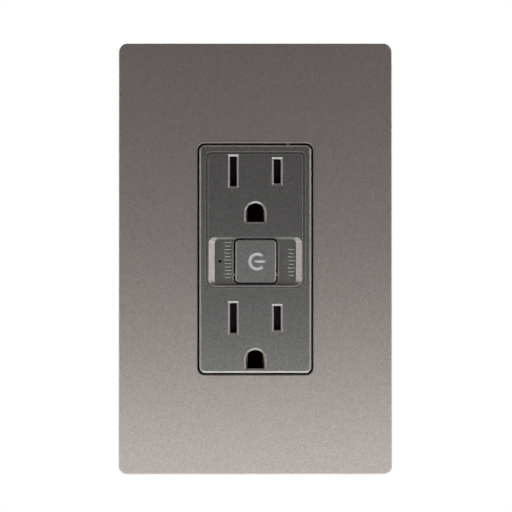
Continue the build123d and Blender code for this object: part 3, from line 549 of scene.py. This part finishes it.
def circuit_board(name, mask_colour):
    """Solder mask over tracks, with tinned pads."""
    material, tree, shader = new_material(name)
    board = use(tree, board_group)
    grain = use(tree, moulding_group)
    mask = blended(tree, board.outputs["Tracks"], mask_colour, scaled_colour(mask_colour, 2.4))
    uneven = ranged(tree, grain.outputs["Blotch"], 0.0, 0.5)
    soft = blended(tree, uneven, mask, scaled_colour(mask_colour, 1.4))
    tinned = blended(tree, board.outputs["Pads"], soft, (0.55, 0.55, 0.5))
    tree.links.new(tinned, shader.inputs["Base Color"])
    tree.links.new(board.outputs["Pads"], shader.inputs["Metallic"])
    tree.links.new(ranged(tree, grain.outputs["Grain"], 0.25, 0.45), shader.inputs["Roughness"])
    bumped(tree, shader, board.outputs["Tracks"], 0.03 * MM, 0.6)
    return material


def translucent_plastic(name, colour, roughness=0.28, rounding=0.1):
    """Milky plastic that lets light through, with faint flow marks and rounded edges."""
    material, tree, shader = new_material(name)
    grain = use(tree, moulding_group)
    edge = use(tree, edge_group)
    edge.inputs["Width"].default_value = rounding * MM
    base = blended(tree, grain.outputs["Blotch"], scaled_colour(colour, 0.92), scaled_colour(colour, 1.08))
    tree.links.new(base, shader.inputs["Base Color"])
    rough = ranged(tree, grain.outputs["Grain"], roughness - 0.06, roughness + 0.08)
    tree.links.new(rough, shader.inputs["Roughness"])
    shader.inputs["Subsurface Weight"].default_value = 0.25
    shader.inputs["Subsurface Radius"].default_value = (0.6 * MM, 0.6 * MM, 0.7 * MM)
    shader.inputs["Coat Weight"].default_value = 0.8
    bumped(tree, shader, grain.outputs["Grain"], 0.004 * MM, 0.5, edge.outputs["Normal"])
    return material


def dress(names, material):
    """Gives carried-over nodes a finish."""
    for name in names:
        data = NODES[name].data
        data.materials.clear()
        data.materials.append(material)


def settle(piece, body, slot, material, *replaced):
    """Puts a finished piece on its body, with its material, in place of the nodes it stands for."""
    piece.data.materials.clear()
    piece.data.materials.append(material)
    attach(piece, body)
    if replaced:
        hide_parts(*replaced)
    return piece


# ---- Operators: one for each piece or group of like pieces ----
class OUTLET_OT_wall_plate(bpy.types.Operator):
    """Builds the screwless plate with rounded edges, ribs and snap hooks"""

    bl_idname = "outlet.wall_plate"
    bl_label = "Wall plate"

    back_bevel = 0.1 * MM
    flat_beside_edge = 0.12 * MM
    collar_wall = 1.0 * MM
    inner_corner = 1.0 * MM
    collar_clearance = 0.15 * MM
    rib_half = 0.5 * MM
    rib_depth = 0.8 * MM
    root = 0.2 * MM
    side_ribs, end_ribs = (-24 * MM, 0, 24 * MM), (-13 * MM, 13 * MM)
    side_hooks, end_hooks = (-42 * MM, -12 * MM, 12 * MM, 42 * MM), (-22 * MM, 22 * MM)
    seal_depth, seal_clearance, seal_overlap = 0.4 * MM, 0.05 * MM, 0.3 * MM
    nub_left, nub_right = 9.0 * MM, 9.9 * MM

    def execute(self, context):
        shape = context.scene.outlet_shape
        look = context.scene.outlet_look
        low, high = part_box("wall_plate")
        face_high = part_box("face_cover")[1]
        sub_low, sub_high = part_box("sub_plate")
        self.half_w, self.half_h, self.front, self.back = high.x, high.z, low.y, high.y
        self.open_w = face_high.x + shape.opening_gap
        self.open_h = face_high.z + shape.opening_gap
        self.inner_y = self.front + shape.plate_wall
        self.collar_back = sub_low.y - self.collar_clearance
        liner_front = self.collar_back - self.seal_depth

        bm = bmesh.new()
        skin(bm, self.shell(shape), loop=True)
        self.ribs(bm, shape.plate_wall)
        for side in (-1, 1):
            for z in self.side_hooks:
                self.hook(bm, sub_high.x, sub_high.y, z, side, False)
            for x in self.end_hooks:
                self.hook(bm, sub_high.z, sub_high.y, x, side, True)
        nub_low = (self.nub_left, self.front + shape.opening_edge, face_high.z + 0.1 * MM)
        slab(bm, nub_low, (self.nub_right, liner_front, self.open_h + 0.5 * MM))
        paint = satin_paint("plate_paint", look.plate_colour, look.paint_roughness)
        settle(finished("plate_cover", bm), "device", "metallic_plate", paint, "wall_plate")

        # A black liner behind the gap round the device: it keeps the white surround from showing through
        # the gap, and its black is painted shade that makes the gap read dark.
        inner, outer = self.seal_clearance - shape.opening_gap, self.seal_overlap
        liner_back = self.collar_back
        corners = ((inner, liner_front), (outer, liner_front), (outer, liner_back), (inner, liner_back))
        seal = bmesh.new()
        skin(seal, [self.hole(shape, outset, y) for outset, y in corners], loop=True)
        shade_black = moulded_plastic("gap_shade_black", (0.01, 0.01, 0.01), 0.8)
        settle(finished("opening_shade_liner", seal), "device", "black_plastic", shade_black)
        return {"FINISHED"}

    def outside(self, shape, inset, y):
        """A ring round the plate's outside."""
        corner = shape.plate_corner - inset
        return rounded_ring(self.half_w - inset, self.half_h - inset, corner, y, shape.corner_steps)

    def hole(self, shape, outset, y):
        """A ring round the opening."""
        corner = shape.opening_corner + outset
        return rounded_ring(self.open_w + outset, self.open_h + outset, corner, y, shape.corner_steps)

    def shell(self, shape):
        """Rings over the whole wall: outside, front, opening, collar and inside."""
        front, edge, mouth, flat = self.front, shape.edge_radius, shape.opening_edge, self.flat_beside_edge
        rings = [
            self.outside(shape, self.back_bevel, self.back),
            self.outside(shape, 0.0, self.back - self.back_bevel),
            self.outside(shape, 0.0, front + edge + flat),
        ]
        for step in range(8):
            turn = step / 7 * pi / 2
            rings.append(self.outside(shape, edge * (1 - cos(turn)), front + edge * (1 - sin(turn))))
        rings.append(self.outside(shape, edge + flat, front))
        rings.append(self.hole(shape, mouth + flat, front))
        for step in range(5):
            turn = step / 4 * pi / 2
            rings.append(self.hole(shape, mouth * (1 - sin(turn)), front + mouth * (1 - cos(turn))))
        rings.append(self.hole(shape, 0.0, front + mouth + flat))
        rings.append(self.hole(shape, 0.0, self.collar_back))
        rings.append(self.hole(shape, self.collar_wall, self.collar_back))
        rings.append(self.hole(shape, self.collar_wall, self.inner_y))
        inner_w, inner_h = self.half_w - shape.plate_wall, self.half_h - shape.plate_wall
        for y in (self.inner_y, self.back):
            rings.append(rounded_ring(inner_w, inner_h, self.inner_corner, y, shape.corner_steps))
        return rings

    def ribs(self, bm, wall):
        """Stiffening ribs between the collar and the outer wall."""
        sunk, rib_back, half = self.inner_y - self.root, self.inner_y + self.rib_depth, self.rib_half
        start, overlap = 0.9 * MM, 0.1 * MM
        for side in (-1, 1):
            span_x = sorted((side * (self.open_w + start), side * (self.half_w - wall + overlap)))
            for z in self.side_ribs:
                slab(bm, (span_x[0], sunk, z - half), (span_x[1], rib_back, z + half))
            span_z = sorted((side * (self.open_h + start), side * (self.half_h - wall + overlap)))
            for x in self.end_ribs:
                slab(bm, (x - half, sunk, span_z[0]), (x + half, rib_back, span_z[1]))

    def hook(self, bm, sub_half, catch_y, along, side, upright):
        """A snap hook that reaches past the sub-plate's edge and catches behind it."""
        inner = sub_half - 0.8 * MM
        half_width = 3 * MM
        root = self.inner_y - self.root
        catch = catch_y + 0.1 * MM
        tip = -0.2 * MM
        profile = (
            (0, root),
            (0, catch),
            (-0.8, catch),
            (-0.8, catch + 0.35 * MM),
            (0.0, tip),
            (1.2, tip),
            (1.4, tip - 0.3 * MM),
            (1.4, root),
        )
        outline = []
        for out, y in profile:
            reach = side * (inner + out * MM)
            outline.append((along - half_width, y, reach) if upright else (reach, y, along - half_width))
        bar(bm, outline, (2 * half_width, 0, 0) if upright else (0, 0, 2 * half_width))


class OUTLET_OT_sub_plate(bpy.types.Operator):
    """Finishes the frame that carries the wall plate"""

    bl_idname = "outlet.sub_plate"
    bl_label = "Sub-plate"

    def execute(self, context):
        dress(["sub_plate"], moulded_plastic("sub_plate_plastic", (0.02, 0.02, 0.021), 0.5))
        return {"FINISHED"}


class OUTLET_OT_face(bpy.types.Operator):
    """Finishes the face and adds the raised marks in the control window"""

    bl_idname = "outlet.face"
    bl_label = "Face"

    def execute(self, context):
        shape = context.scene.outlet_shape
        look = context.scene.outlet_look
        # The edge factor of 2.8 paints strong highlights along the groove, the slot lips and the window's
        # edges.
        paint = satin_paint("device_paint", look.device_colour, look.paint_roughness - 0.09, 2.8)
        dress(["face_cover"], paint)
        window_depth = 1.1 * MM
        window_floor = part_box("face_cover")[0].y + window_depth
        # Name, place, width, lowest and highest mark in millimetres, and number of marks.
        columns = (
            ("window_marks_left", -7.9 * MM, 2.1 * MM, (-5.2, 4.9), 11),
            ("window_marks_right", 10.4 * MM, 1.9 * MM, (-4.6, 2.9), 8),
        )
        for name, x, width, span, count in columns:
            bm = bmesh.new()
            step = (span[1] - span[0]) / (count - 1)
            for i in range(count):
                z = (span[0] + i * step) * MM
                self.mark(bm, x, z, width / 2 * (1.0 if i % 3 else 0.78), window_floor, shape.tick_height)
            settle(finished(name, bm), "device", "metallic_device", paint)
        return {"FINISHED"}

    def mark(self, bm, x, z, half_w, floor_y, height):
        """One low raised mark with rounded ends and sloping sides."""
        half_h, corner, slope, sunk, steps = 0.2 * MM, 0.19 * MM, 0.07 * MM, 0.1 * MM, 4
        rings = [
            rounded_ring(half_w, half_h, corner, floor_y + sunk, steps, x, z),
            rounded_ring(half_w, half_h, corner, floor_y - height * 0.4, steps, x, z),
            rounded_ring(half_w - slope, half_h - slope, corner - slope, floor_y - height, steps, x, z),
        ]
        skin(bm, rings)


class OUTLET_OT_button(bpy.types.Operator):
    """Finishes the power button, its symbol and the status light"""

    bl_idname = "outlet.button"
    bl_label = "Power button"

    def execute(self, context):
        look = context.scene.outlet_look
        colour = scaled_colour(look.device_colour, 1.25)
        dress(["power_button"], satin_paint("button_paint", colour, look.paint_roughness - 0.05, 1.25))
        dress(["power_symbol_lens"], translucent_plastic("symbol_plastic", look.symbol_colour, 0.22, 0.3))
        dress(["status_light_pipe"], translucent_plastic("light_pipe_plastic", (0.02, 0.02, 0.022), 0.2))
        return {"FINISHED"}


class OUTLET_OT_strap(bpy.types.Operator):
    """Finishes the strap and the screw retainers"""

    bl_idname = "outlet.strap"
    bl_label = "Strap"

    def execute(self, context):
        dress(["strap"], plated_metal("zinc_plate", (0.62, 0.63, 0.64), 0.32))
        dress(["screw_retainers"], moulded_plastic("red_fibre", (0.32, 0.06, 0.035), 0.7, 0.02))
        return {"FINISHED"}


class OUTLET_OT_screws(bpy.types.Operator):
    """Builds the threaded screws with their slotted heads"""

    bl_idname = "outlet.screws"
    bl_label = "Screws"

    terminal_head = 1.9 * MM

    def execute(self, context):
        shape = context.scene.outlet_shape
        self.sides = shape.thread_sides
        self.box_screws(shape.thread_pitch)
        self.plate_screws(shape.thread_pitch)
        self.assembly_screws()
        self.terminal_screws("neutral_terminal_screws", -1, "nickel_screw", (0.72, 0.71, 0.68))
        self.terminal_screws("hot_terminal_screws", 1, "brass_screw", (0.72, 0.52, 0.2))
        self.ground_screw()
        return {"FINISHED"}

    def head(self, radius, depth, crown):
        """Rows of a pan head from the top of its crown to its underside."""
        flat, rim = 0.45, 0.12 * MM
        rows = [(-depth, radius * 0.2)]
        for i in range(5):
            turn = i / 4 * pi / 2
            rows.append((-depth + crown * (1 - cos(turn)), radius * (flat + (1 - flat) * sin(turn))))
        return rows + [(-rim, radius), (0, radius - 0.1 * MM)]

    def spin(self, degrees):
        """A turn about a screw's own axis."""
        return Matrix.Rotation(radians(degrees), 4, "Y")

    def box_screws(self, pitch):
        """Long oval-headed screws that hold the strap to a wall box."""
        low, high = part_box("box_screws")
        strap_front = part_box("strap")[0].y
        length = high.y - strap_front
        radius, neck, core, crest, tip = 3.2 * MM, 1.4 * MM, 1.38 * MM, 1.75 * MM, 0.95 * MM
        rows = self.head(radius, strap_front - low.y, 0.8 * MM) + [(0, neck)]
        rows += thread_rows(0.1 * MM, length - 0.8 * MM, crest, core, pitch)
        rows += [(length - 0.7 * MM, 1.3 * MM), (length, tip)]
        slots = [(8 * MM, 0.9 * MM, 0.9 * MM, 0), (4.2 * MM, 0.75 * MM, 0.9 * MM, pi / 2)]
        pattern = driven_screw("box_screw", rows, self.sides, slots)
        places = [
            Matrix.Translation((0, strap_front, low.z + radius)) @ self.spin(-17),
            Matrix.Translation((0, strap_front, high.z - radius)) @ self.spin(28),
        ]
        zinc = plated_metal("screw_zinc", (0.56, 0.56, 0.57), 0.3)
        piece = scattered("box_screws_threaded", pattern, places)
        settle(piece, "device", "screw_steel", zinc, "box_screws")

    def plate_screws(self, pitch):
        """Countersunk screws that hold the sub-plate."""
        low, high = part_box("plate_screws")
        length = high.y - low.y
        radius, neck, core, crest, tip = 2.8 * MM, 1.5 * MM, 1.38 * MM, 1.68 * MM, 0.9 * MM
        rows = [(0, radius * 0.3), (0, radius - 0.15 * MM), (0.12 * MM, radius), (1.1 * MM, neck)]
        rows += thread_rows(1.2 * MM, length - 0.6 * MM, crest, core, pitch)
        rows += [(length - 0.5 * MM, 1.3 * MM), (length, tip)]
        pattern = driven_screw("plate_screw", rows, self.sides, [(7 * MM, 0.8 * MM, 0.7 * MM, 0)])
        places = [
            Matrix.Translation((0, low.y, low.z + radius)) @ self.spin(64),
            Matrix.Translation((0, low.y, high.z - radius)) @ self.spin(9),
        ]
        zinc = plated_metal("plate_screw_zinc", (0.5, 0.5, 0.51), 0.32)
        piece = scattered("plate_screws_threaded", pattern, places)
        settle(piece, "device", "screw_steel", zinc, "plate_screws")

    def assembly_screws(self):
        """Self-tapping screws in the four corners of the rear housing."""
        low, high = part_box("assembly_screws")
        radius, head_depth, shank, core, crest = 2.2 * MM, 2.0 * MM, 1.0 * MM, 0.9 * MM, 1.19 * MM
        tip = high.y - low.y - head_depth
        rows = self.head(radius, head_depth, 0.6 * MM) + [(0, shank), (tip - 12 * MM, shank)]
        rows += thread_rows(tip - 11.9 * MM, tip - 0.9 * MM, crest, core, 1.0 * MM)
        rows += [(tip - 0.8 * MM, 0.85 * MM), (tip, 0.3 * MM)]
        cross = (2.7 * MM, 0.7 * MM, 1.1 * MM)
        pattern = driven_screw("assembly_screw", rows, self.sides, [(*cross, 0), (*cross, pi / 2)])
        places = []
        for x in (low.x + radius, high.x - radius):
            for z in (low.z + radius, high.z - radius):
                seat = Matrix.Translation((x, high.y - head_depth, z)) @ Matrix.Rotation(pi, 4, "X")
                places.append(seat @ self.spin(20 + 37 * len(places)))
        zinc = plated_metal("assembly_zinc", (0.52, 0.52, 0.53), 0.34)
        piece = scattered("assembly_screws_threaded", pattern, places)
        settle(piece, "device", "screw_steel", zinc, "assembly_screws")

    def side_screws(self, node, head_radius, length, places, slot, colour):
        """Large-headed terminal screws with a combination drive, all alike."""
        core, crest, tip, pitch = 1.6 * MM, 1.97 * MM, 1.5 * MM, 0.7 * MM
        rows = self.head(head_radius, self.terminal_head, 0.5 * MM) + [(0, core)]
        rows += thread_rows(0.05 * MM, length - 0.2 * MM, crest, core, pitch) + [(length, tip)]
        drives = [
            (2.2 * head_radius, 0.9 * MM, 0.8 * MM, 0),
            (1.15 * head_radius, 0.8 * MM, 0.8 * MM, pi / 2),
        ]
        pattern = driven_screw(node, rows, self.sides + 8, drives)
        metal = plated_metal(node + "_plate", colour, 0.26)
        settle(scattered(node + "_threaded", pattern, places), "device", slot, metal, node)

    def terminal_screws(self, node, side, slot, colour):
        """Two screws on one side of the device."""
        low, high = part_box(node)
        radius = 3.3 * MM
        seat = (high.x if side > 0 else low.x) - side * self.terminal_head
        places = []
        for z in (low.z + radius, high.z - radius):
            centre = Matrix.Translation((seat, (low.y + high.y) / 2, z))
            outward = Matrix.Rotation(side * pi / 2, 4, "Z")
            places.append(centre @ outward @ self.spin(35 if z > 0 else -50))
        self.side_screws(node, radius, high.x - low.x - self.terminal_head, places, slot, colour)

    def ground_screw(self):
        """The green screw on the strap's tab."""
        low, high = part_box("ground_screw")
        seat = ((low.x + high.x) / 2, (low.y + high.y) / 2, low.z + self.terminal_head)
        place = Matrix.Translation(seat) @ Matrix.Rotation(pi / 2, 4, "X") @ self.spin(15)
        length = high.z - low.z - self.terminal_head
        self.side_screws("ground_screw", 3.4 * MM, length, [place], "green_screw", (0.03, 0.3, 0.09))


class OUTLET_OT_housings(bpy.types.Operator):
    """Finishes the two housings and adds the blank rating label"""

    bl_idname = "outlet.housings"
    bl_label = "Housings"

    def execute(self, context):
        colour = context.scene.outlet_look.housing_colour
        plastic = moulded_plastic("housing_plastic", colour, 0.5)
        dress(["middle_housing", "rear_housing"], plastic)
        half_w, half_h, corner, recess, steps = 8.0 * MM, 14.4 * MM, 1.2 * MM, 0.3 * MM, 8
        floor_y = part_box("rear_housing")[1].y - recess
        depths = (floor_y - 0.05 * MM, floor_y + 0.1 * MM)
        bm = bmesh.new()
        skin(bm, [rounded_ring(half_w, half_h, corner, y, steps) for y in depths])
        settle(finished("rating_label", bm), "device", "housing_plastic", self.label_paper())
        return {"FINISHED"}

    def label_paper(self):
        """Silver film with blank ruled lines."""
        material, tree, shader = new_material("label_film")
        grain = use(tree, moulding_group)
        place = tree.nodes.new("ShaderNodeSeparateXYZ")
        tree.links.new(tree.nodes.new("ShaderNodeTexCoord").outputs["Object"], place.inputs[0])
        half_spacing, rule_width, rule_end = 2.4 * MM, 0.12 * MM, 6.4 * MM
        to_rule = maths(tree, "PINGPONG", place.outputs["Z"], half_spacing)
        rules = maths(tree, "LESS_THAN", to_rule, rule_width)
        margin = maths(tree, "LESS_THAN", maths(tree, "ABSOLUTE", place.outputs["X"]), rule_end)
        inked = maths(tree, "MULTIPLY", maths(tree, "MULTIPLY", rules, margin), 0.6)
        base = blended(tree, grain.outputs["Blotch"], (0.5, 0.5, 0.49), (0.62, 0.62, 0.6))
        tree.links.new(blended(tree, inked, base, (0.12, 0.12, 0.12)), shader.inputs["Base Color"])
        shader.inputs["Metallic"].default_value = 0.35
        tree.links.new(ranged(tree, grain.outputs["Grain"], 0.35, 0.5), shader.inputs["Roughness"])
        return material


class OUTLET_OT_contacts(bpy.types.Operator):
    """Finishes the contacts, the clamp plates and the ground leaves"""

    bl_idname = "outlet.contacts"
    bl_label = "Contacts"

    def execute(self, context):
        brass = plated_metal("rolled_brass", (0.72, 0.5, 0.22), 0.3)
        dress(["neutral_contact", "hot_contact_upper", "hot_contact_lower", "ground_contacts"], brass)
        along_y = (1.0, 0.08, 1.0)
        dress(["neutral_clamp_plates"], plated_metal("clamp_nickel", (0.7, 0.69, 0.66), 0.3, along_y))
        dress(["hot_clamp_plates"], plated_metal("clamp_brass", (0.7, 0.5, 0.22), 0.3, along_y))
        return {"FINISHED"}


class OUTLET_OT_electronics(bpy.types.Operator):
    """Finishes the boards and what they carry"""

    bl_idname = "outlet.electronics"
    bl_label = "Electronics"

    def execute(self, context):
        dress(["main_board"], circuit_board("board_green", (0.006, 0.06, 0.022)))
        # The control board's mask is black so that the gap round the button reads dark: painted shade.
        dress(["control_board"], circuit_board("board_black_shade", (0.003, 0.003, 0.0035)))
        dress(["tact_switch_body", "board_header"], moulded_plastic("part_black", (0.02, 0.02, 0.022), 0.4))
        dress(["tact_plunger"], moulded_plastic("plunger_plastic", (0.05, 0.045, 0.04), 0.35))
        dress(["relay"], moulded_plastic("relay_blue", (0.02, 0.07, 0.3), 0.3, 0.003))
        dress(["transformer"], plated_metal("laminations", (0.2, 0.18, 0.16), 0.5, (1.0, 0.05, 1.0)))
        dress(["capacitors"], moulded_plastic("can_sleeve", (0.02, 0.02, 0.05), 0.25, 0.002))
        dress(["radio_module"], plated_metal("tinned_shield", (0.66, 0.66, 0.64), 0.3))
        dress(["indicator_leds"], translucent_plastic("led_plastic", (0.8, 0.8, 0.7)))
        return {"FINISHED"}


class OUTLET_OT_shutters(bpy.types.Operator):
    """Finishes the blade shutters, their cages and springs"""

    bl_idname = "outlet.shutters"
    bl_label = "Shutters"

    def execute(self, context):
        dark = moulded_plastic("shutter_plastic", (0.005, 0.005, 0.006), 0.7)
        dress(["shutter_upper", "shutter_lower", "shutter_cage_upper", "shutter_cage_lower"], dark)
        steel = plated_metal("spring_strip", (0.5, 0.5, 0.52), 0.28)
        for outlet in ("upper", "lower"):
            self.spring(f"shutter_spring_{outlet}", f"shutter_{outlet}_slide", steel)
        return {"FINISHED"}

    def spring(self, node, joint, steel):
        """A wavy strip between the cage's wall and the shutter."""
        low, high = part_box(node)
        half = 0.1 * MM
        corners = ((1, low.z), (1, high.z), (-1, high.z), (-1, low.z))
        start, length = low.x + half, high.x - low.x - 2 * half
        middle, swing = (low.y + high.y) / 2, (high.y - low.y) / 2 - half
        steps, waves = 64, 2
        rings = []
        for i in range(steps + 1):
            turn = 2 * pi * waves * i / steps
            along, rise = length / (2 * pi * waves), swing * sin(turn)
            across = Vector((rise, along, 0)).normalized() * half
            centre = Vector((start + length * i / steps, middle + swing * cos(turn), 0))
            rings.append([centre + side * across + Vector((0, 0, z)) for side, z in corners])
        bm = bmesh.new()
        skin(bm, rings)
        piece = settle(finished(node + "_strip", bm), "device", "spring_steel", steel, node)
        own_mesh(piece)


class OUTLET_OT_stage(bpy.types.Operator):
    """Sets the pale floor, the soft lights, the white surround and the camera"""

    bl_idname = "outlet.stage"
    bl_label = "Stage"

    neutral, warm = (0.96, 1.0, 0.97), (1.0, 0.87, 0.88)
    # Name, place, target, size, power and colour. The near light makes the plate paler towards its foot.
    lights = (
        ("near", (0, -0.113, -0.085), (0, 0.0, -0.04), (0.50, 0.06), 0.168, neutral),
        ("below", (0, -0.05, -0.26), (0, -0.01, 0), (0.40, 0.08), 0.42, neutral),
        ("left", (-0.33, -0.11, 0.0), (0, 0, 0), (0.08, 0.4), 0.44, warm),
        ("right", (0.33, -0.11, 0.0), (0, 0, 0), (0.08, 0.4), 0.53, warm),
        ("above", (0, -0.06, 0.32), (0, 0, 0), (0.3, 0.08), 0.1, warm),
        ("behind_left", (-0.45, 0.5, 0.3), (0, 0, 0), (0.4, 0.4), 4.5, neutral),
        ("behind_right", (0.45, 0.5, 0.3), (0, 0, 0), (0.4, 0.4), 4.5, neutral),
    )
    floor_drop = 0.30
    camera_distance, camera_x, camera_z = 0.822, 0.2 * MM, 0.87 * MM

    def execute(self, context):
        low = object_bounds()[0]
        self.ground(low.z - self.floor_drop)
        self.surround(context.scene)
        context.scene.view_settings.view_transform = "Standard"
        for light in self.lights:
            self.soft_box(*light)
        data = bpy.data.cameras.new("camera")
        data.lens = 200
        data.sensor_width = 36
        data.clip_start, data.clip_end = 0.05, 20
        camera = bpy.data.objects.new("camera", data)
        camera.location = (self.camera_x, low.y - self.camera_distance, self.camera_z)
        camera.rotation_euler = (radians(90), 0, 0)
        context.scene.collection.objects.link(camera)
        context.scene.camera = camera
        return {"FINISHED"}

    def ground(self, height):
        """A pale round floor well below the outlet, which the camera sees without shadows."""
        bm = bmesh.new()
        bmesh.ops.create_circle(bm, cap_ends=True, radius=1.6, segments=96)
        piece = finished("floor", bm)
        piece.location.z = height
        material, tree, shader = new_material("floor_paper")
        grain = use(tree, moulding_group)
        grain.inputs["Grain scale"].default_value = 60.0
        base = blended(tree, grain.outputs["Blotch"], (0.86, 0.86, 0.86), (0.9, 0.9, 0.9))
        tree.links.new(base, shader.inputs["Base Color"])
        shader.inputs["Roughness"].default_value = 0.8
        glow = tree.nodes.new("ShaderNodeEmission")
        glow.inputs["Strength"].default_value = 0.9
        path = tree.nodes.new("ShaderNodeLightPath")
        mix = tree.nodes.new("ShaderNodeMixShader")
        tree.links.new(path.outputs["Is Camera Ray"], mix.inputs["Fac"])
        tree.links.new(shader.outputs["BSDF"], mix.inputs[1])
        tree.links.new(glow.outputs["Emission"], mix.inputs[2])
        tree.links.new(mix.outputs["Shader"], tree.nodes["Material Output"].inputs["Surface"])
        piece.data.materials.append(material)
        piece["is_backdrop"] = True

    def surround(self, scene):
        """White behind the outlet, and an even grey light for everything else."""
        world = bpy.data.worlds.new("surround")
        world.use_nodes = True
        tree = world.node_tree
        tree.nodes.clear()
        out = tree.nodes.new("ShaderNodeOutputWorld")
        light = tree.nodes.new("ShaderNodeBackground")
        light.inputs["Color"].default_value = (1.0, 0.985, 0.98, 1)
        light.inputs["Strength"].default_value = 0.03
        white = tree.nodes.new("ShaderNodeBackground")
        white.inputs["Color"].default_value = (1, 1, 1, 1)
        path = tree.nodes.new("ShaderNodeLightPath")
        mix = tree.nodes.new("ShaderNodeMixShader")
        tree.links.new(path.outputs["Is Camera Ray"], mix.inputs["Fac"])
        tree.links.new(light.outputs[0], mix.inputs[1])
        tree.links.new(white.outputs[0], mix.inputs[2])
        tree.links.new(mix.outputs[0], out.inputs["Surface"])
        scene.world = world

    def soft_box(self, name, place, target, size, power, colour):
        """One large soft light that the camera can't see."""
        data = bpy.data.lights.new(name, "AREA")
        data.shape = "RECTANGLE"
        data.size, data.size_y = size
        data.energy = power
        data.color = colour
        lamp = bpy.data.objects.new(name, data)
        lamp.location = place
        lamp.rotation_euler = (Vector(target) - Vector(place)).to_track_quat("-Z", "Y").to_euler()
        lamp.visible_camera = False
        bpy.context.scene.collection.objects.link(lamp)


OPERATORS = (
    OUTLET_OT_wall_plate,
    OUTLET_OT_sub_plate,
    OUTLET_OT_face,
    OUTLET_OT_button,
    OUTLET_OT_strap,
    OUTLET_OT_screws,
    OUTLET_OT_housings,
    OUTLET_OT_contacts,
    OUTLET_OT_electronics,
    OUTLET_OT_shutters,
    OUTLET_OT_stage,
)


class OUTLET_PT_panel(bpy.types.Panel):
    """Lists the outlet's settings and operators"""

    bl_idname = "OUTLET_PT_panel"
    bl_label = "Duplex outlet"
    bl_space_type = "VIEW_3D"
    bl_region_type = "UI"
    bl_category = "Outlet"

    def draw(self, context):
        for group in (context.scene.outlet_shape, context.scene.outlet_look):
            for name in group.__annotations__:
                self.layout.prop(group, name)
        for operator in OPERATORS:
            self.layout.operator(operator.bl_idname)


CLASSES = (OutletShape, OutletLook, *OPERATORS, OUTLET_PT_panel)


def register():
    for cls in CLASSES:
        bpy.utils.register_class(cls)
    bpy.types.Scene.outlet_shape = PointerProperty(type=OutletShape)
    bpy.types.Scene.outlet_look = PointerProperty(type=OutletLook)


def unregister():
    del bpy.types.Scene.outlet_look
    del bpy.types.Scene.outlet_shape
    for cls in reversed(CLASSES):
        bpy.utils.unregister_class(cls)


def main():
    """Builds everything."""
    register()
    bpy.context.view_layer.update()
    for operator in OPERATORS:
        group, name = operator.bl_idname.split(".")
        getattr(getattr(bpy.ops, group), name)()


if __name__ == "__main__":
    main()
